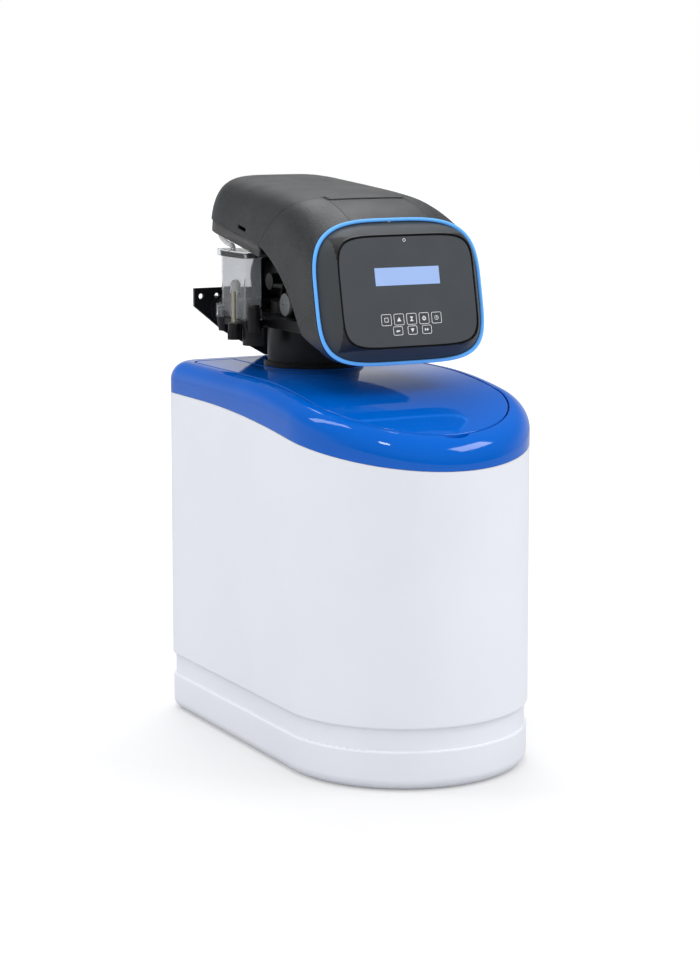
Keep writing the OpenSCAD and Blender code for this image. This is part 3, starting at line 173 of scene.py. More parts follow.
class Paint:
    """A node material built up from noise in the object's own coordinates, which are metres."""

    def __init__(self, name, colour, rough, **inputs):
        self.mat = bpy.data.materials.new(name)
        self.mat.use_nodes = True
        self.tree = self.mat.node_tree
        self.shader = self.tree.nodes["Principled BSDF"]
        self.set("Base Color", (*colour, 1))
        self.set("Roughness", rough)
        for key, value in inputs.items():
            self.set(key.replace("_", " "), value)
        self.place = self.node("ShaderNodeTexCoord").outputs["Object"]
        self.mat.diffuse_color = (*colour, 1)
        self.colour, self.rough = colour, rough

    def node(self, kind, **settings):
        made = self.tree.nodes.new(kind)
        for key, value in settings.items():
            if key in made.inputs:
                made.inputs[key].default_value = value
            else:
                setattr(made, key, value)
        return made

    def set(self, key, value):
        self.shader.inputs[key].default_value = value

    def link(self, a, b):
        self.tree.links.new(a, b)

    def noise(self, scale, detail):
        made = self.node("ShaderNodeTexNoise", Scale=scale, Detail=detail)
        self.link(self.place, made.inputs["Vector"])
        return made.outputs["Fac"]

    def spread(self, value, start, end):
        """Noise keeps to the middle of its range, which is spread here from start to end."""
        made = self.node("ShaderNodeMapRange")
        for key, number in (("From Min", NOISE_LOW), ("From Max", NOISE_HIGH), ("To Min", start),
                            ("To Max", end)):
            made.inputs[key].default_value = number
        self.link(value, made.inputs["Value"])
        return made.outputs["Result"]

    def mix(self, factor, first, second):
        made = self.node("ShaderNodeMix", data_type="RGBA")
        made.inputs["A"].default_value = (*first, 1)
        made.inputs["B"].default_value = (*second, 1)
        self.link(factor, made.inputs["Factor"])
        return made.outputs["Result"]

    def mottle(self, scale, share, detail=3.0):
        """The colour varies by a share of itself, in soft patches."""
        darker = tuple(c * (1 - share) for c in self.colour)
        lighter = tuple(min(1.0, c * (1 + share)) for c in self.colour)
        factor = self.spread(self.noise(scale, detail), 0, 1)
        self.link(self.mix(factor, darker, lighter), self.shader.inputs["Base Color"])
        return self

    def gloss(self, scale, change, detail=3.0):
        """The roughness varies in patches, as handled and moulded plastic does."""
        low_rough, high_rough = max(0.02, self.rough - change), min(1.0, self.rough + change)
        value = self.spread(self.noise(scale, detail), low_rough, high_rough)
        self.link(value, self.shader.inputs["Roughness"])
        return self

    def bumps(self, *layers):
        """Each layer is scale, height in millimetres, and detail; they are stacked on each other."""
        last = None
        for scale, height, detail in layers:
            bump = self.node("ShaderNodeBump", Strength=1.0, Distance=height * MM)
            self.link(self.noise(scale, detail), bump.inputs["Height"])
            if last is not None:
                self.link(last, bump.inputs["Normal"])
            last = bump.outputs["Normal"]
        self.link(last, self.shader.inputs["Normal"])
        return self


def glow(paint, colour, strength):
    paint.set("Emission Color", (*colour, 1))
    paint.set("Emission Strength", strength)


PAINTS = {
    "cabinet_white": Paint("satin_white", (0.80, 0.825, 0.885), 0.42)
    .mottle(9, 0.015).gloss(14, 0.05).bumps((16, 0.25, 1.0), (1500, 0.012, 2.0)),
    "cover_blue": Paint("gloss_blue", (0.0, 0.108, 0.53), 0.06, Specular_IOR_Level=0.4)
    .mottle(12, 0.03).gloss(60, 0.02).bumps((24, 0.06, 1.0)),
    "tank_shell": Paint("tank_fibre", (0.03, 0.07, 0.2), 0.45).mottle(90, 0.2).gloss(40, 0.08)
    .bumps((300, 0.1, 3.0)),
    "black_plastic": Paint("black_moulded", (0.008, 0.008, 0.009), 0.38, Specular_IOR_Level=0.3)
    .mottle(60, 0.25).gloss(45, 0.08).bumps((1800, 0.02, 2.0), (90, 0.05, 2.0)),
    "steel": Paint("plated_steel", (0.55, 0.55, 0.57), 0.32, Metallic=1.0).mottle(300, 0.1)
    .gloss(200, 0.08).bumps((1500, 0.01, 2.0)),
    "grey_plug": Paint("grey_moulded", (0.22, 0.23, 0.24), 0.42).mottle(120, 0.08).gloss(90, 0.06)
    .bumps((1800, 0.015, 2.0)),
    "inner_plastic": Paint("natural_moulded", (0.66, 0.67, 0.68), 0.4).mottle(60, 0.05)
    .gloss(60, 0.06).bumps((900, 0.015, 2.0)),
    "float_foam": Paint("float_plastic", (0.62, 0.62, 0.60), 0.5).mottle(90, 0.06).gloss(80, 0.06)
    .bumps((900, 0.03, 3.0)),
    "seal_rubber": Paint("rubber", (0.012, 0.012, 0.012), 0.62).mottle(150, 0.2).gloss(100, 0.08)
    .bumps((1200, 0.02, 3.0)),
    "clear_plastic": Paint("clear_plastic", (0.70, 0.715, 0.73), 0.06, Transmission_Weight=0.90,
                           IOR=1.10).gloss(120, 0.03).bumps((60, 0.03, 2.0)),
    "brass_rod": Paint("brass", (0.56, 0.43, 0.16), 0.34, Metallic=0.8).mottle(300, 0.15)
    .gloss(200, 0.08).bumps((1500, 0.01, 2.0)),
    "clear_hose": Paint("clear_hose", (0.86, 0.87, 0.88), 0.22, Transmission_Weight=0.45, IOR=1.4)
    .mottle(60, 0.03).gloss(120, 0.05).bumps((200, 0.03, 2.0)),
    "head_shell": Paint("textured_slate", (0.020, 0.0225, 0.025), 0.43)
    .mottle(700, 0.9, 2.0).gloss(30, 0.05).bumps((850, 0.42, 2.0), (30, 0.05, 1.0)),
    "tray_grey": Paint("satin_grey", (0.055, 0.055, 0.057), 0.42).mottle(40, 0.06).gloss(40, 0.06)
    .bumps((1500, 0.012, 2.0)),
    "ring_blue": Paint("lit_ring", (0.10, 0.36, 0.80), 0.3, Specular_IOR_Level=0.3)
    .mottle(20, 0.06).gloss(40, 0.05).bumps((400, 0.01, 1.0)),
    "bezel_grey": Paint("satin_slate", (0.050, 0.056, 0.062), 0.55, Specular_IOR_Level=0.35)
    .mottle(20, 0.04).gloss(30, 0.05).bumps((1600, 0.012, 2.0)),
    "panel_grey": Paint("panel_film", (0.056, 0.065, 0.074), 0.48).mottle(30, 0.03).gloss(30, 0.04)
    .bumps((2200, 0.004, 2.0)),
    "key_grey": Paint("key_film", (0.055, 0.064, 0.073), 0.48).mottle(40, 0.03).gloss(40, 0.04)
    .bumps((2200, 0.010, 2.0)),
    "display_blue": Paint("lit_display", (0.30, 0.42, 0.70), 0.16).mottle(18, 0.05).gloss(40, 0.03)
    .bumps((600, 0.004, 1.0)),
    "board_green": Paint("circuit_board", (0.015, 0.11, 0.05), 0.4).mottle(500, 0.3).gloss(200, 0.1)
    .bumps((900, 0.05, 2.0)),
}
glow(PAINTS["ring_blue"], (0.12, 0.38, 0.92), 0.28)
glow(PAINTS["display_blue"], (0.30, 0.44, 0.76), 0.22)
INK = Paint("white_print", (0.78, 0.79, 0.80), 0.5).mottle(200, 0.04).bumps((2000, 0.005, 1.0))
# Near-black paint for the panel's groove and the hatch's finger slot: painted shade for the dark inside
# of a recess
GROOVE = Paint("groove_painted_shade", (0.010, 0.011, 0.012), 0.5).mottle(60, 0.15)
GROOVE.bumps((1500, 0.01, 2.0))


def paint(obj, name):
    """Gives an object a paint, on all its faces."""
    kind = PAINTS.get(name, name)
    obj.data.materials.clear()
    obj.data.materials.append(kind.mat)
    for face in obj.data.polygons:
        face.material_index = 0
    return obj


def piece(obj, name, body=ROOT, *stands_for):
    paint(obj, name)
    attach(obj, body)
    if stands_for:
        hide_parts(*stands_for)
    return obj


# Outlines and profiles shared with the part's source


def power(value, exponent):
    return math.copysign(abs(value) ** exponent, value)


def soft_box(w, h, above, below, count):
    """A rounded outline with half width w, half height h, squareness above and below."""
    points = []
    for i in range(count):
        a = 2 * math.pi * (i + 0.5) / count
        e = 2 / (above if math.sin(a) >= 0 else below)
        points.append((w * power(math.cos(a), e), h * power(math.sin(a), e)))
    return points


def even(points, count):
    """The same closed line with its points evenly spaced."""
    closed = [Vector(p) for p in points] + [Vector(points[0])]
    lengths = [0.0]
    for a, b in zip(closed, closed[1:], strict=False):
        lengths.append(lengths[-1] + (b - a).length)
    made, k = [], 0
    for i in range(count):
        at = lengths[-1] * i / count
        while lengths[k + 1] < at:
            k += 1
        made.append(closed[k].lerp(closed[k + 1], (at - lengths[k]) / (lengths[k + 1] - lengths[k])))
    return made


def top_at(y):
    """Height of the cover's top: flat at the back, one long arc in front."""
    return TOP_Z if y >= TOP_Y else TOP_Z - TOP_R + math.sqrt(TOP_R**2 - (y - TOP_Y) ** 2)


def seam_at(y):
    """Height of the joint between the cabinet and the cover."""
    return SEAM_Z if y >= SEAM_Y else SEAM_Z - SEAM_R + math.sqrt(SEAM_R**2 - (y - SEAM_Y) ** 2)


def plan_path(inset, shift, arc=120, side=24, corner=14, back=10):
    """The D shaped outline of the body drawn inset, with its back moved forward by shift."""
    r, flat, corner_y = HALF_W - inset, HALF_W - CORNER_R, BACK_Y - CORNER_R - shift
    cr = CORNER_R - inset
    turn = [math.pi / 2 * i / corner for i in range(corner + 1)]
    path = [(r * math.cos(math.pi * (1 + i / arc)), ARC_Y + r * math.sin(math.pi * (1 + i / arc)))
            for i in range(arc + 1)]
    path += [(r, ARC_Y + (corner_y - ARC_Y) * i / side) for i in range(1, side)]
    path += [(flat + cr * math.cos(a), corner_y + cr * math.sin(a)) for a in turn]
    path += [(flat - 2 * flat * i / back, corner_y + cr) for i in range(1, back)]
    path += [(-flat - cr * math.sin(a), corner_y + cr * math.cos(a)) for a in turn]
    path += [(-r, corner_y - (corner_y - ARC_Y) * i / side) for i in range(1, side)]
    return path


# The blue cover, with its rolled shoulder, the ledge that carries the lid, and the finger scoop
COVER_T, SHOULDER_R, GROOVE_INSET, BACK_BORDER = 3.0, 20.0, 21.0, 13.0
LEDGE_DROP, LEDGE_W = 9.0, 7.0
EDGE_R = 1.1
LIP_IN, LIP_T, LIP_H = 4.4, 2.1, 8.0
SEAM_GAP = 0.25


def cover_rows():
    """Rows of inset, shift of the back, whether the row follows the top, and height over it."""
    t, r, g, b, e = COVER_T, SHOULDER_R, GROOVE_INSET, BACK_BORDER, EDGE_R
    inner = r - t
    quarter = [math.radians(f) for f in range(0, 91, 6)]
    rows = [(0.5, 0, 0, SEAM_GAP), (0, 0, 0, SEAM_GAP + 0.5)]
    rows += [(r * (1 - math.cos(f)), 0, 1, -r * (1 - math.sin(f))) for f in quarter[:-1]]
    rows += [(r, 0, 1, 0)] if g - e > r else []
    rows += [(g - e + e * math.sin(f), b, 1, -e * (1 - math.cos(f))) for f in quarter[::3]]
    rows += [(g, b, 1, -ledge) for ledge in (3, 6, LEDGE_DROP)]
    rows += [(g + LEDGE_W, b, 1, -LEDGE_DROP), (g + LEDGE_W, b, 1, -LEDGE_DROP - t),
             (g - t, b, 1, -LEDGE_DROP - t), (g - t, b, 1, -t - 0.4)]
    rows += [(t + inner * (1 - math.cos(f)), 0, 1, -t - inner * (1 - math.sin(f)))
             for f in quarter[-2::-3]]
    rows += [(LIP_IN + LIP_T, 0, 0, 2), (LIP_IN + LIP_T, 0, 0, -LIP_H), (LIP_IN, 0, 0, -LIP_H),
             (LIP_IN, 0, 0, SEAM_GAP)]
    return rows


def cover_row(inset, shift, on_top, height):
    rule = top_at if on_top else seam_at
    return [(x, y, rule(y) + height) for x, y in plan_path(inset, shift)]


cover = loft("cover_skin", [cover_row(*row) for row in cover_rows()], closed=True)

SCOOP_W, SCOOP_D, SCOOP_H, SCOOP_LIFT = 15.0, 8.5, 5.5, 1.0
SCOOP_Y = FRONT_Y + GROOVE_INSET + 0.6


def ellipsoid(name, centre, radii, rings=24, sides=48):
    rows = []
    for j in range(1, rings):
        a = math.pi * j / rings - math.pi / 2
        rows.append([(centre[0] + radii[0] * math.cos(a) * math.cos(2 * math.pi * i / sides),
                      centre[1] + radii[1] * math.cos(a) * math.sin(2 * math.pi * i / sides),
                      centre[2] + radii[2] * math.sin(a)) for i in range(sides)])
    return loft(name, rows)


scoop_at = (0, SCOOP_Y, top_at(SCOOP_Y) + SCOOP_LIFT)
boolean(cover, ellipsoid("scoop_cut", scoop_at, (SCOOP_W, SCOOP_D, SCOOP_H)))
piece(soften(cover, 0.5, 2, 50), "cover_blue", ROOT, "top_cover")


# The salt lid: a domed plate with a rounded rim that wraps the neck's fixed tongue
LID_GAP, LID_SHORT, LID_T = 1.6, 0.9, 3.2
LID_EDGE_R, LID_FOOT_R, LID_SKIRT_T = 1.4, 0.3, 3.0
LID_FOOT = -LEDGE_DROP + LID_SHORT
LID_FOOT_IN = 2.6
HINGE_Y, SKIRT_SHORT = 173.0, 8.0
TONGUE_HW = 56.0
NOTCH_R = TONGUE_HW + LID_GAP


def lid_outline(inset):
    """The lid's plan, inset: the body's outline with the notch for the neck taken out of its back."""
    body = plan_path(GROOVE_INSET + LID_GAP + inset, BACK_BORDER)
    back = BACK_Y - GROOVE_INSET - LID_GAP - inset - BACK_BORDER
    notch = NOTCH_R + inset
    kept = [p for p in body if not (abs(p[0]) < notch + 0.01 and p[1] > TANK_Y)]
    right = [p for p in kept if p[0] > 0 and p[1] > TANK_Y]
    cut = kept.index(right[-1]) + 1
    steps = 64
    arc = [(notch, back), (notch, (back + TANK_Y) / 2)]
    arc += [(notch * math.cos(math.pi * i / steps), TANK_Y - notch * math.sin(math.pi * i / steps))
            for i in range(steps + 1)]
    arc += [(-notch, (back + TANK_Y) / 2), (-notch, back)]
    return kept[:cut] + arc + kept[cut:]


def lid_row(inset, height):
    return [(x, y, top_at(y) + height) for x, y in lid_outline(inset)]


def lid_rows():
    """The lid's outer skirt, from its foot to the rounded edge of its top."""
    quarter = [math.radians(f) for f in (0, 22.5, 45, 67.5, 90)]
    rows = [lid_row(LID_FOOT_IN, LID_FOOT), lid_row(LID_FOOT_R, LID_FOOT),
            lid_row(0, LID_FOOT + LID_FOOT_R)]
    rows += [lid_row(LID_EDGE_R * (1 - math.cos(f)), -LID_EDGE_R * (1 - math.sin(f))) for f in quarter]
    return rows


def crowned_cap(name, outline, pitch=6.0):
    """A face over an outline that follows the cover's arc, cut into strips across it."""
    bm = bmesh.new()
    bm.faces.new([bm.verts.new((x, y, 0)) for x, y in outline])
    y = FRONT_Y
    while y < TOP_Y + pitch:
        geometry = bm.verts[:] + bm.edges[:] + bm.faces[:]
        bmesh.ops.bisect_plane(bm, geom=geometry, plane_co=(0, y, 0), plane_no=(0, 1, 0))
        y += pitch
    for vert in bm.verts:
        vert.co = Vector((vert.co.x, vert.co.y, top_at(vert.co.y))) * MM
    mesh = bpy.data.meshes.new(name)
    bm.to_mesh(mesh)
    bm.free()
    return new_object(name, mesh)


def joined(first, *others, weld=0.02):
    """One object from several, with points that lie together merged."""
    bm = bmesh.new()
    for obj in (first, *others):
        bm.from_mesh(obj.data)
    bmesh.ops.remove_doubles(bm, verts=bm.verts, dist=weld * MM)
    bmesh.ops.recalc_face_normals(bm, faces=bm.faces)
    bm.to_mesh(first.data)
    bm.free()
    for obj in others:
        bpy.data.objects.remove(obj)
    return first


def open_loft(name, rows):
    """A loft without its end faces."""
    obj = loft(name, rows)
    bm = bmesh.new()
    bm.from_mesh(obj.data)
    caps = [f for f in bm.faces if len(f.verts) > 4]
    bmesh.ops.delete(bm, geom=caps, context="FACES")
    bm.to_mesh(obj.data)
    bm.free()
    return obj


lid_skin = open_loft("lid_skin", lid_rows())
lid_top = crowned_cap("lid_top", lid_outline(LID_EDGE_R))
lid_under = open_loft("lid_under", [lid_row(LID_FOOT_IN, LID_FOOT), lid_row(LID_SKIRT_T, LID_FOOT),
                                    lid_row(LID_SKIRT_T, -LID_T)])
lid_ceiling = crowned_cap("lid_ceiling", lid_outline(LID_SKIRT_T))
for vertex in lid_ceiling.data.vertices:
    vertex.co.z -= LID_T * MM
lid = joined(lid_skin, lid_top, lid_under, lid_ceiling)
lid.name = "lid_skin"
# Behind its hinge the lid is a bare plate, so that its back edge can dip as it tilts
skirt_end = HINGE_Y - SKIRT_SHORT
skirt = [(-HALF_W, skirt_end), (HALF_W, skirt_end), (HALF_W, BACK_Y), (-HALF_W, BACK_Y)]
boolean(lid, prism("skirt_cut", skirt, TOP_Z - LEDGE_DROP - 5, TOP_Z - LID_T - 0.05))
piece(soften(lid, 0), "cover_blue", "salt_lid", "salt_lid")


# The control head's covers
HEAD_N, HEAD_LOW_N = 3.5, 4.4
HEAD_N_GAIN, HEAD_RAMP, HEAD_TURN = 1.1, 0.5, 6.5
HEAD_BACK_HW, HEAD_TAPER_RUN, HEAD_CORNER_R, HEAD_TOP_R = 92.0, 200.0, 40.0, 16.0
SQUARE_RATE, LEAN_END = 3.5, 0.3
HEAD_RUN = HEAD_BACK - HEAD_Y
RING_TOP = HEAD_Z + HEAD_HH * math.cos(TILT)
RING_TOP_Y = HEAD_Y + HEAD_HH * math.sin(TILT)


def falling(y, start, r):
    """How far a quarter arc of radius r has dropped past its start."""
    return r - math.sqrt(max(0.0, r * r - (y - start) ** 2)) if y > start else 0.0


def head_hw_at(y):
    taper = (HEAD_HW - HEAD_BACK_HW) * min(1.0, (y - HEAD_Y) / HEAD_TAPER_RUN)
    return HEAD_HW - taper - falling(y, HEAD_BACK - HEAD_CORNER_R, HEAD_CORNER_R)


def head_top_at(y):
    crest = HEAD_BACK - HEAD_TOP_R
    u = max(0.0, crest - y) / (crest - RING_TOP_Y)
    share = HEAD_RAMP * u + (1 - HEAD_RAMP) * u**HEAD_TURN
    return HEAD_TOP - (HEAD_TOP - RING_TOP) * share - falling(y, crest, HEAD_TOP_R)


def squareness(step):
    """How square the upper half of the head is, from its face to its back."""
    return HEAD_N + HEAD_N_GAIN * min(1.0, SQUARE_RATE * step)


def head_section(step, inset, count=220):
    """One row of the head from the light ring at step 0 to its back at step 1."""
    y = HEAD_Y + step * (HEAD_RUN - inset) - (3 if step == 0 and inset else 0)
    lean = math.tan(TILT) * max(0.0, 1 - step / LEAN_END) ** 2
    up = RING_TOP - HEAD_Z
    tall = head_top_at(y + up * lean) - HEAD_Z - inset
    row = []
    for x, v in soft_box(head_hw_at(y) - inset, 1, squareness(step), HEAD_LOW_N, count):
        z = v * tall if v > 0 else v * (up - inset)
        row.append((x, y + z * lean, HEAD_Z + z))
    return row


def head_steps(start, end, count=46):
    """Steps along the head, closer together where its back turns in."""
    steps = [1 - (1 - i / count) ** 1.35 for i in range(count)]
    steps += [0.985, 0.99, 0.994, 0.997, 0.999, 1]
    steps = sorted({round(s, 5) for s in steps})
    return [s for s in steps if start <= s <= end]


def head_solid(name, inset, start=0.0, end=1.0):
    return loft(name, [head_section(s, inset) for s in head_steps(start, end)])


# The lines that part the covers, drawn from the side as y and z
EDGE_FOOT = Vector((-53.0, HEAD_Z - 43.3))
SEAM_FOOT = Vector((48.0, HEAD_Z + 41.7))
SEAM_DIR = Vector((-1.0, 54 / 57))
EDGE_R_SIDE = 170.0
LOW_SLOPE = 22 / 132
COVER_SPLIT = 0.6
CUT_HW, CUT_FRONT, CUT_LOW, CUT_HIGH = 110, -200, 380, 640
CUT_BACK = HEAD_BACK + 5
SIDEWAYS = Matrix(((0, 0, 1), (1, 0, 0), (0, 1, 0))).to_4x4()


def side_prism(name, outline):
    """A cutter wider than the head from an outline drawn as y and z."""
    return prism(name, outline, -CUT_HW, CUT_HW, SIDEWAYS)


def seam_point(shift, k):
    return SEAM_FOOT + k * SEAM_DIR + Vector((shift, 0))


def low_line(y):
    """Height of the rear cover's lower edge."""
    return SEAM_FOOT.y + LOW_SLOPE * (y - SEAM_FOOT.x)


def front_edge(steps=40):
    """The hollow curve of the front cover's lower edge, from its foot to the seam."""
    mid, chord = (EDGE_FOOT + SEAM_FOOT) / 2, SEAM_FOOT - EDGE_FOOT
    out = Vector((chord.y, -chord.x)).normalized()
    centre = mid + out * math.sqrt(EDGE_R_SIDE**2 - (chord.length / 2) ** 2)
    a = math.atan2(EDGE_FOOT.y - centre.y, EDGE_FOOT.x - centre.x)
    b = math.atan2(SEAM_FOOT.y - centre.y, SEAM_FOOT.x - centre.x)
    if b - a > math.pi:
        b -= 2 * math.pi
    if a - b > math.pi:
        a -= 2 * math.pi
    angles = [a + (b - a) * i / steps for i in range(steps + 1)]
    return [centre + EDGE_R_SIDE * Vector((math.cos(t), math.sin(t))) for t in angles]


FRONT_ZONE = ([Vector((CUT_FRONT, CUT_LOW)), Vector((-86, CUT_LOW)), Vector((-82, HEAD_Z - 57))]
              + front_edge() + [seam_point(0, 90), Vector((CUT_FRONT, CUT_HIGH))])
REAR_ZONE = [seam_point(COVER_SPLIT, 0), Vector((CUT_BACK, low_line(CUT_BACK))),
             Vector((CUT_BACK, CUT_HIGH)), seam_point(COVER_SPLIT, 110)]
HATCH_BACK_HW, HATCH_FRONT_HW, HATCH_GAP = 43.0, 47.0, 0.4


def hatch_prism(name, grow):
    """A cutter over the top hatch, widest at the light ring and straight behind the middle."""
    a, b, ahead, behind = HATCH_FRONT_HW + grow, HATCH_BACK_HW + grow, RING_TOP_Y - 30, 60
    outline = [(-a, ahead), (a, ahead), (a, RING_TOP_Y), (b, 0), (b, behind), (-b, behind), (-b, 0),
               (-a, RING_TOP_Y)]
    return prism(name, outline, HEAD_Z + 50, HEAD_Z + 140)


def head_shell(name, start, end, zone, inner_end):
    """The part of the head's shell that lies in a zone, hollow as far as inner_end."""
    shell = head_solid(name, 0, start, end)
    boolean(shell, side_prism("zone_cut", zone), "INTERSECT")
    return boolean(shell, head_solid("hollow_cut", HEAD_WALL, start, inner_end))


front = head_shell("front_cover_skin", 0.0, 0.62, FRONT_ZONE, 0.7)
boolean(front, hatch_prism("hatch_cut", HATCH_GAP))
piece(soften(front, 0.5, 2, 40), "head_shell", ROOT, "front_cover")

hatch = head_shell("top_hatch_skin", 0.0, 0.5, FRONT_ZONE, 0.56)
boolean(hatch, hatch_prism("hatch_zone", 0), "INTERSECT")
piece(soften(hatch, 0.5, 2, 40), "head_shell", ROOT, "top_hatch")


# The raised lip that closes the hatch's back edge, and the finger slot at its end, drawn as a thin slab
# in painted shade rather than cut in
LIP_FRONT, LIP_BACK, LIP_HW, LIP_RISE, LIP_SINK = -18.0, -3.0, 43.0, 1.3, 1.2


def head_surface(x, y):
    """Height of the head's skin over a point near the middle of its top."""
    above = squareness((y - HEAD_Y) / HEAD_RUN)
    return HEAD_Z + (head_top_at(y) - HEAD_Z) * (1 - abs(x / head_hw_at(y)) ** above) ** (1 / above)


def on_head(name, x0, x1, y0, y1, rise, across=24):
    """A slab laid on the head's skin between two places across it and two along it."""
    rows = []
    for i in range(across + 1):
        x = x0 + (x1 - x0) * i / across
        rows.append([(x, y, head_surface(x, y) + lift)
                     for y, lift in ((y0, -LIP_SINK), (y1, -LIP_SINK), (y1, rise), (y0, rise))])
    return loft(name, rows)


lip = on_head("hatch_lip", -LIP_HW, LIP_HW, LIP_FRONT, LIP_BACK, LIP_RISE)
piece(soften(lip, 0.8, 3), "head_shell", ROOT)
# The finger slot is no recess: a thin slab just proud of the skin, painted near-black as painted shade
slot_reach = (-LIP_HW - 2.4, -LIP_HW - 0.2, LIP_FRONT + 1, LIP_BACK + 1)
slot_shade = on_head("hatch_lip_slot", *slot_reach, rise=0.25, across=2)
piece(soften(slot_shade, 0), GROOVE, ROOT)

# The latch slots run along the rear cover's lower edge, one on each side
LATCH_Y, LATCH_UP, LATCH_L, LATCH_H, LATCH_REACH = 91.0, 7.8, 20.0, 4.0, 12.0
rear = head_shell("rear_cover_skin", 0.15, 1.0, REAR_ZONE, 1.0)
for side in (-1, 1):
    along = Vector((1, LOW_SLOPE)).normalized() * (LATCH_L / 2)
    across = Vector((-along.y, along.x)).normalized() * (LATCH_H / 2)
    middle = Vector((LATCH_Y, low_line(LATCH_Y) + LATCH_UP))
    slot = [middle + i * along + j * across for i, j in ((-1, -1), (1, -1), (1, 1), (-1, 1))]
    reach = sorted(side * (HEAD_HW + depth) for depth in (-LATCH_REACH, LATCH_REACH))
    boolean(rear, prism("latch_cut", slot, *reach, SIDEWAYS))
piece(soften(rear, 0.5, 2, 40), "head_shell", ROOT, "rear_cover")


# The face: a frame at the middle of the light ring, with x to the right, y up the face, z out of it
FACE = Matrix.Translation((0, HEAD_Y, HEAD_Z)) @ Matrix.Rotation(math.pi / 2 - TILT, 4, "X")
PANEL = FACE @ Matrix.Translation((0, -PANEL_DROP, BEVEL_DEPTH))


def placed(place, points):
    return [place @ Vector(p) for p in points]


RING_IN, RING_OUT_W, RING_R, RING_SIDES = 1.7, 2.3, 1.8, 20
ring_rows = []
for k in range(RING_SIDES):
    a = 2 * math.pi * k / RING_SIDES
    w, h = HEAD_HW - RING_IN + RING_R * math.cos(a), HEAD_HH - RING_IN + RING_R * math.cos(a)
    line = even([(*p, 0) for p in soft_box(w, h, HEAD_N, HEAD_LOW_N, 480)], 360)
    ring_rows.append(placed(FACE, [(p[0], p[1], RING_OUT_W + RING_R * math.sin(a)) for p in line]))
ring = loft("light_ring_skin", ring_rows, closed=True)
piece(soften(ring, 0), "ring_blue", ROOT, "light_ring")

BEZEL_T, PANEL_T, PANEL_GAP, PROUD, PANEL_N, BEZEL_FIT = 2.4, 3.0, 2.0, 0.8, 6.0, 1.6
BEVEL_SWELL, RING_GAP, SPIGOT_DEPTH, PANEL_LEDGE = 0.18, 0.2, 4.0, 6.0
GROOVE_W, GROOVE_H = PANEL_HW + PANEL_GAP, PANEL_HH + PANEL_GAP


def bezel_row(f, grow, z, count=320):
    """A row of the bezel, from 0 at the light ring to 1 at the panel's groove."""
    w0 = HEAD_HW - RING_IN - RING_R - RING_GAP
    h0 = HEAD_HH - RING_IN - RING_R - RING_GAP
    outline = soft_box(w0 + (GROOVE_W - w0) * f + grow, h0 + (GROOVE_H - h0) * f + grow,
                       HEAD_N + (PANEL_N - HEAD_N) * f, HEAD_LOW_N + (PANEL_N - HEAD_LOW_N) * f,
                       2 * count)
    return placed(FACE, [(p.x, p.y - PANEL_DROP * f, z) for p in even(outline, count)])


def bezel_bevel(f, t=0.0):
    """A row of the long bevel, lying a depth t inside it; it is almost straight."""
    foot = 1.2
    rise = BEVEL_DEPTH + PROUD - 0.8 - foot
    return bezel_row(f, -0.8 * t, foot + rise * (f + BEVEL_SWELL * f * (1 - f)) - 0.6 * t)


def bezel_rows():
    """Spigot, bevel, the rounded rim of the groove, the panel's ledge, and back inside."""
    floor_z = BEVEL_DEPTH - PANEL_T
    spigot = RING_IN + RING_R + RING_GAP - HEAD_WALL - BEZEL_FIT
    top = BEVEL_DEPTH + PROUD
    ledge = -PANEL_GAP - PANEL_LEDGE
    rows = [bezel_row(0, spigot, -SPIGOT_DEPTH), bezel_row(0, spigot, -0.1), bezel_row(0, 0, 0)]
    rows += [bezel_bevel(i / 16) for i in range(16)]
    rim = [math.radians(a) for a in range(30, -71, -20)]
    rows += [bezel_row(1, 0.9 * math.cos(a) - 0.6, top - 1.1 + math.sin(a)) for a in rim]
    rows += [bezel_row(1, -0.2, floor_z + 0.4), bezel_row(1, -0.6, floor_z),
             bezel_row(1, ledge, floor_z), bezel_row(1, ledge, floor_z - 2),
             bezel_row(1, BEZEL_T, floor_z - 2)]
    rows += [bezel_bevel(i / 5, BEZEL_T) for i in range(4, -1, -1)]
    rows += [bezel_row(0, -BEZEL_T, 0), bezel_row(0, spigot - BEZEL_T, -SPIGOT_DEPTH)]
    return rows


bezel = loft("bezel_skin", bezel_rows(), closed=True)
piece(soften(bezel, 0), "bezel_grey", ROOT, "bezel")
# Faces inside the panel's groove, up to just under its mouth, take the near-black paint: painted shade
# that makes the groove look deeper and wider
bezel.data.materials.append(GROOVE.mat)
painted_shade_top = BEVEL_DEPTH + PROUD - 0.35
for face in bezel.data.polygons:
    spot = FACE.inverted() @ (face.center / MM)
    inside = abs(spot.x) < GROOVE_W and abs(spot.y + PANEL_DROP) < GROOVE_H
    if inside and spot.z < painted_shade_top:
        face.material_index = 1


# Printed outlines and icons, as thin raised film on the keys
PRINT_H = 0.08
KEY_PITCH, KEY_W, KEY_LOW_H, KEY_V = 14.4, 12.0, 9.4, 28.2
KEY_LOW_V = KEY_V + KEY_W / 2 + KEY_LOW_H / 2 + 0.7
KEY_CORNER = 1.8


def round_rect(w, h, r, corner=6):
    points = []
    for k, (sx, sy) in enumerate(((1, 1), (-1, 1), (-1, -1), (1, -1))):
        for i in range(corner + 1):
            a = math.pi / 2 * (k + i / corner)
            points.append((sx * (w / 2 - r) + r * math.cos(a), sy * (h / 2 - r) + r * math.sin(a)))
    return points


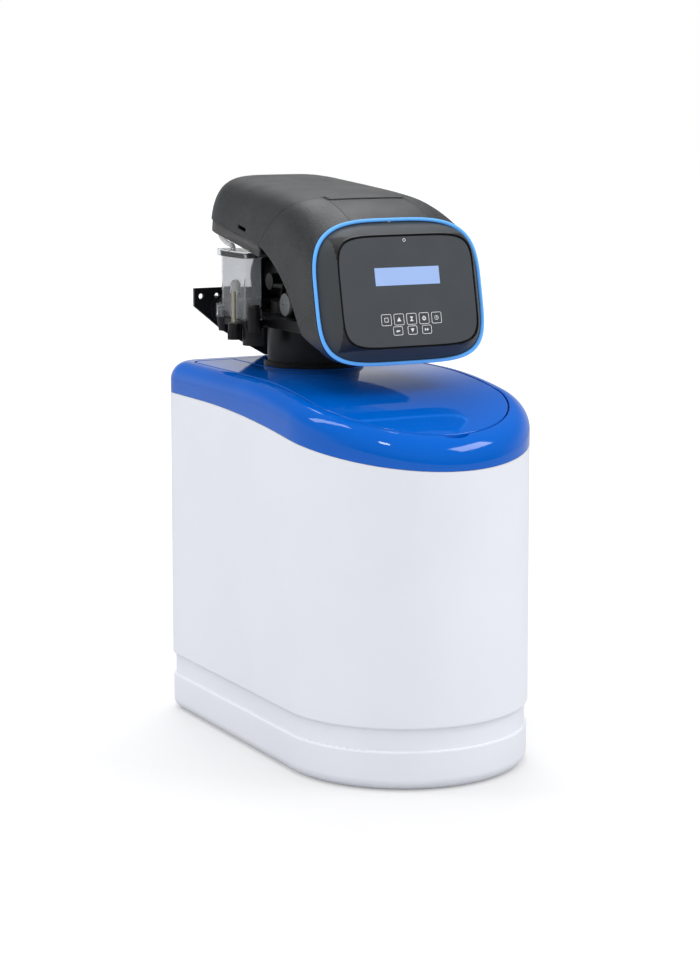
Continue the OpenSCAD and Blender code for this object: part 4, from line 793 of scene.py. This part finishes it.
def print_shape(outline, hole=None):
    """Points and faces of a flat raised shape, with the hole's outline of the same count if any."""
    n = len(outline)
    if hole is None:
        points = [(x, y, 0) for x, y in outline] + [(x, y, PRINT_H) for x, y in outline]
        faces = [tuple(range(n - 1, -1, -1)), tuple(range(n, 2 * n))]
        faces += [(i, (i + 1) % n, n + (i + 1) % n, n + i) for i in range(n)]
        return points, faces
    rings = [[(x, y, 0) for x, y in outline], [(x, y, PRINT_H) for x, y in outline],
             [(x, y, PRINT_H) for x, y in hole], [(x, y, 0) for x, y in hole]]
    points = [p for r in rings for p in r]
    faces = []
    for j in range(4):
        k = (j + 1) % 4
        faces += [(j * n + i, j * n + (i + 1) % n, k * n + (i + 1) % n, k * n + i) for i in range(n)]
    return points, faces


def circle(r, count=24, x=0.0, y=0.0):
    return [(x + r * math.cos(2 * math.pi * i / count), y + r * math.sin(2 * math.pi * i / count))
            for i in range(count)]


def gear_icon(r_out, r_in, teeth=8):
    points = []
    for k in range(teeth * 4):
        a = 2 * math.pi * (k + 0.5) / (teeth * 4)
        r = r_out if k % 4 in (0, 1) else r_in
        points.append((r * math.cos(a), r * math.sin(a)))
    return points


def bar(x0, y0, x1, y1, w):
    d = Vector((x1 - x0, y1 - y0)).normalized() * (w / 2)
    n = Vector((-d.y, d.x))
    a, b = Vector((x0, y0)), Vector((x1, y1))
    return [tuple(a - n), tuple(b - n), tuple(b + n), tuple(a + n)]


LINE, MENU_W = 0.55, 4.6
ICONS = {
    "key_menu": [print_shape(round_rect(MENU_W, MENU_W, 0.7),
                             round_rect(MENU_W - 2 * LINE, MENU_W - 2 * LINE, 0.3))],
    "key_up": [print_shape([(-2.4, -1.9), (2.4, -1.9), (0, 2.4)])],
    "key_hold": [print_shape([(-2.1, 2.3), (0, -0.2), (2.1, 2.3)]),
                 print_shape([(-2.1, -2.3), (2.1, -2.3), (0, 0.2)])],
    "key_set": [print_shape(gear_icon(2.5, 1.8), circle(1.0, 32))],
    "key_clock": [print_shape(circle(2.3), circle(2.3 - LINE * 0.8)),
                  print_shape(bar(0, -0.2, 0, 1.4, LINE)), print_shape(bar(-0.1, 0, 1.2, -0.6, LINE))],
    "key_back": [print_shape([(-2.5, -0.6), (-0.4, -1.8), (-0.4, -1.0), (2.2, -0.6), (2.2, 0.7),
                              (1.0, 0.4), (-0.4, 0.4), (-0.4, 1.2)])],
    "key_down": [print_shape([(-2.1, 1.7), (0, -2.0), (2.1, 1.7)])],
    "key_next": [print_shape([(-2.4, -1.6), (-0.2, 0), (-2.4, 1.6)]),
                 print_shape([(0.1, -1.6), (2.3, 0), (0.1, 1.6)])],
}
# Each key's column, height on the panel, width and height
UPPER, LOWER = (-KEY_V, KEY_W, KEY_W), (-KEY_LOW_V, KEY_W - 0.6, KEY_LOW_H)
KEYS = {
    "key_menu": (-2, *UPPER), "key_up": (-1, *UPPER), "key_hold": (0, *UPPER), "key_set": (1, *UPPER),
    "key_clock": (2, *UPPER), "key_back": (-1.15, *LOWER), "key_down": (0, *LOWER),
    "key_next": (1.15, *LOWER),
}
PRINT_EDGE = 0.35
for name, (column, v, w, h) in KEYS.items():
    w, h = w - PRINT_EDGE, h - PRINT_EDGE
    shapes = [print_shape(round_rect(w, h, KEY_CORNER),
                          round_rect(w - 2 * LINE, h - 2 * LINE, KEY_CORNER - LINE))]
    shapes += ICONS[name]
    points, faces = [], []
    for shape_points, shape_faces in shapes:
        start = len(points)
        points += shape_points
        faces += [tuple(start + i for i in f) for f in shape_faces]
    at = PANEL @ Matrix.Translation((column * KEY_PITCH, v, 0))
    icon = mesh_object(name + "_print", placed(at, points), faces)
    piece(icon, INK, name)

# The lamp over the display: a small ring
lamp_points, lamp_faces = print_shape(circle(1.7, 32), circle(1.1, 32))
lamp_at = PANEL @ Matrix.Translation((0, PANEL_HH - 3.7, 0))
lamp = mesh_object("status_lamp_ring", placed(lamp_at, lamp_points), lamp_faces)
piece(lamp, INK, ROOT)

# CAD nodes that stay: their paint and the width of their rounded edges
DRESS = {
    "cabinet": ("cabinet_white", 0.0), "neck_surround": ("cover_blue", 0.6),
    "control_tray": ("tray_grey", 0.0), "control_panel": ("panel_grey", 0.35),
    "display_window": ("display_blue", 0.2), "sight_chamber": ("clear_plastic", 0.0),
    "sight_chamber_cap": ("clear_plastic", 0.4), "metering_tube": ("clear_plastic", 0.0),
    "transfer_tube": ("clear_hose", 0.0), "brine_hose": ("clear_hose", 0.0),
}
FLAT = ("control_panel", "display_window")
SLOT_OF = {row["node"]: row["material_slot"] for row in frame["record"]["subparts"]}
for name, obj in NODES.items():
    if obj.hide_render:
        continue
    slot_name, width = DRESS.get(name, (SLOT_OF[name], 0.35))
    weld = obj.modifiers.new("weld", "WELD")
    weld.merge_threshold = 0.00001
    paint(obj, slot_name)
    if name in FLAT:
        obj.data.shade_flat()
    else:
        soften(obj, width, 2, 35)


# The photograph's viewpoint
LENS, SENSOR, SHIFT_Y = 89.93, 36.0, -0.0905
CAMERA_AT = Vector((-1.1804, -2.1942, 0.6921))
LOOKS_ALONG = Vector((0.4666, 0.8750, -0.1291))

camera_data = bpy.data.cameras.new("camera")
camera_data.lens, camera_data.sensor_width, camera_data.shift_y = LENS, SENSOR, SHIFT_Y
camera_data.clip_start, camera_data.clip_end = 0.1, 60
camera = new_object("camera", camera_data)
camera.location = CAMERA_AT
camera.rotation_mode = "QUATERNION"
camera.rotation_quaternion = LOOKS_ALONG.to_track_quat("-Z", "Y")
bpy.context.scene.camera = camera


# Studio: a white floor that keeps the object's shadow, and soft light all round
NEAR_GLOW, FAR_GLOW, GLOW_START, GLOW_END = 0.33, 0.62, 0.4, 2.4
FLOOR_HALF, FLOOR_COLOUR = 12.0, (0.50, 0.50, 0.51, 1)
DIFFUSE_LEVEL, GLOSS_FRONT, GLOSS_LOW, GLOSS_ABOVE = 1.08, 0.08, 0.62, 0.20


def combined(tree, operation, first, second):
    """The result of a sum on two sockets."""
    made = tree.nodes.new("ShaderNodeMath")
    made.operation = operation
    tree.links.new(first, made.inputs[0])
    tree.links.new(second, made.inputs[1])
    return made.outputs[0]


def ramp(tree, value, start, end, low_value, high_value):
    """A soft step from one level to another as a value goes from start to end."""
    made = tree.nodes.new("ShaderNodeMapRange")
    made.interpolation_type = "SMOOTHSTEP"
    for key, number in (("From Min", start), ("From Max", end), ("To Min", low_value),
                        ("To Max", high_value)):
        made.inputs[key].default_value = number
    tree.links.new(value, made.inputs["Value"])
    return made.outputs["Result"]


def seen(tree, path):
    """One for what the camera sees, also through clear parts, and else zero."""
    return combined(tree, "MAXIMUM", path.outputs["Is Camera Ray"], path.outputs["Is Transmission Ray"])


def floor_material():
    """A grey that takes shadows, with a glow that only the camera sees and that grows outwards."""
    mat = bpy.data.materials.new("studio_floor")
    mat.use_nodes = True
    tree = mat.node_tree
    tree.nodes.clear()
    out = tree.nodes.new("ShaderNodeOutputMaterial")
    diffuse = tree.nodes.new("ShaderNodeBsdfDiffuse")
    diffuse.inputs["Color"].default_value = FLOOR_COLOUR
    shine = tree.nodes.new("ShaderNodeEmission")
    shine.inputs["Color"].default_value = (1, 1, 1, 1)
    path = tree.nodes.new("ShaderNodeLightPath")
    place = tree.nodes.new("ShaderNodeTexCoord")
    reach = tree.nodes.new("ShaderNodeVectorMath")
    reach.operation = "LENGTH"
    tree.links.new(place.outputs["Object"], reach.inputs[0])
    glow_level = ramp(tree, reach.outputs["Value"], GLOW_START, GLOW_END, NEAR_GLOW, FAR_GLOW)
    level = combined(tree, "MULTIPLY", seen(tree, path), glow_level)
    tree.links.new(level, shine.inputs["Strength"])
    both = tree.nodes.new("ShaderNodeAddShader")
    tree.links.new(diffuse.outputs[0], both.inputs[0])
    tree.links.new(shine.outputs[0], both.inputs[1])
    tree.links.new(both.outputs[0], out.inputs["Surface"])
    return mat


floor_corners = [(FLOOR_HALF * x, FLOOR_HALF * y, 0) for x, y in ((-1, -1), (1, -1), (1, 1), (-1, 1))]
floor = mesh_object("studio_floor", floor_corners, [(0, 1, 2, 3)], 1.0)
floor.data.materials.append(floor_material())


def studio_world():
    """White to the camera, plain for diffuse light, and shaded by direction for reflections."""
    world = bpy.data.worlds.new("studio")
    world.use_nodes = True
    sky = world.node_tree
    back = sky.nodes["Background"]
    back.inputs["Color"].default_value = (1, 1, 1, 1)
    path = sky.nodes.new("ShaderNodeLightPath")
    where = sky.nodes.new("ShaderNodeTexCoord")
    split = sky.nodes.new("ShaderNodeSeparateXYZ")
    sky.links.new(where.outputs["Generated"], split.inputs["Vector"])
    whole = sky.nodes.new("ShaderNodeMix")
    sky.links.new(ramp(sky, split.outputs["Z"], 0.08, 0.50, 0.0, 1.0), whole.inputs["Factor"])
    low_down = ramp(sky, split.outputs["Y"], -0.6, 0.3, GLOSS_FRONT, GLOSS_LOW)
    sky.links.new(low_down, whole.inputs["A"])
    whole.inputs["B"].default_value = GLOSS_ABOVE
    pick_gloss = sky.nodes.new("ShaderNodeMix")
    pick_gloss.inputs["A"].default_value = DIFFUSE_LEVEL
    sky.links.new(path.outputs["Is Glossy Ray"], pick_gloss.inputs["Factor"])
    sky.links.new(whole.outputs["Result"], pick_gloss.inputs["B"])
    pick_seen = sky.nodes.new("ShaderNodeMix")
    pick_seen.inputs["B"].default_value = 1.0
    sky.links.new(seen(sky, path), pick_seen.inputs["Factor"])
    sky.links.new(pick_gloss.outputs["Result"], pick_seen.inputs["A"])
    sky.links.new(pick_seen.outputs["Result"], back.inputs["Strength"])
    return world


bpy.context.scene.world = studio_world()


def softbox(name, at, aim, size, power_w):
    data = bpy.data.lights.new(name, "AREA")
    data.shape = "RECTANGLE"
    data.size, data.size_y = size
    data.energy = power_w
    light = new_object(name, data)
    light.location = at
    light.rotation_mode = "QUATERNION"
    light.rotation_quaternion = (Vector(aim) - Vector(at)).to_track_quat("-Z", "Y")


MIDDLE = (0.0, 0.0, 0.35)
softbox("left_light", (-0.95, 0.45, 2.3), MIDDLE, (0.35, 1.5), 9)
softbox("front_light", (-0.75, -1.35, 2.5), MIDDLE, (0.3, 0.3), 5)
softbox("right_light", (1.3, -1.0, 2.05), MIDDLE, (1.1, 0.5), 12)
softbox("back_light", (0.7, 1.5, 2.6), (0.0, 0.0, 0.55), (1.2, 0.9), 22)

bpy.context.scene.view_settings.view_transform = "Standard"
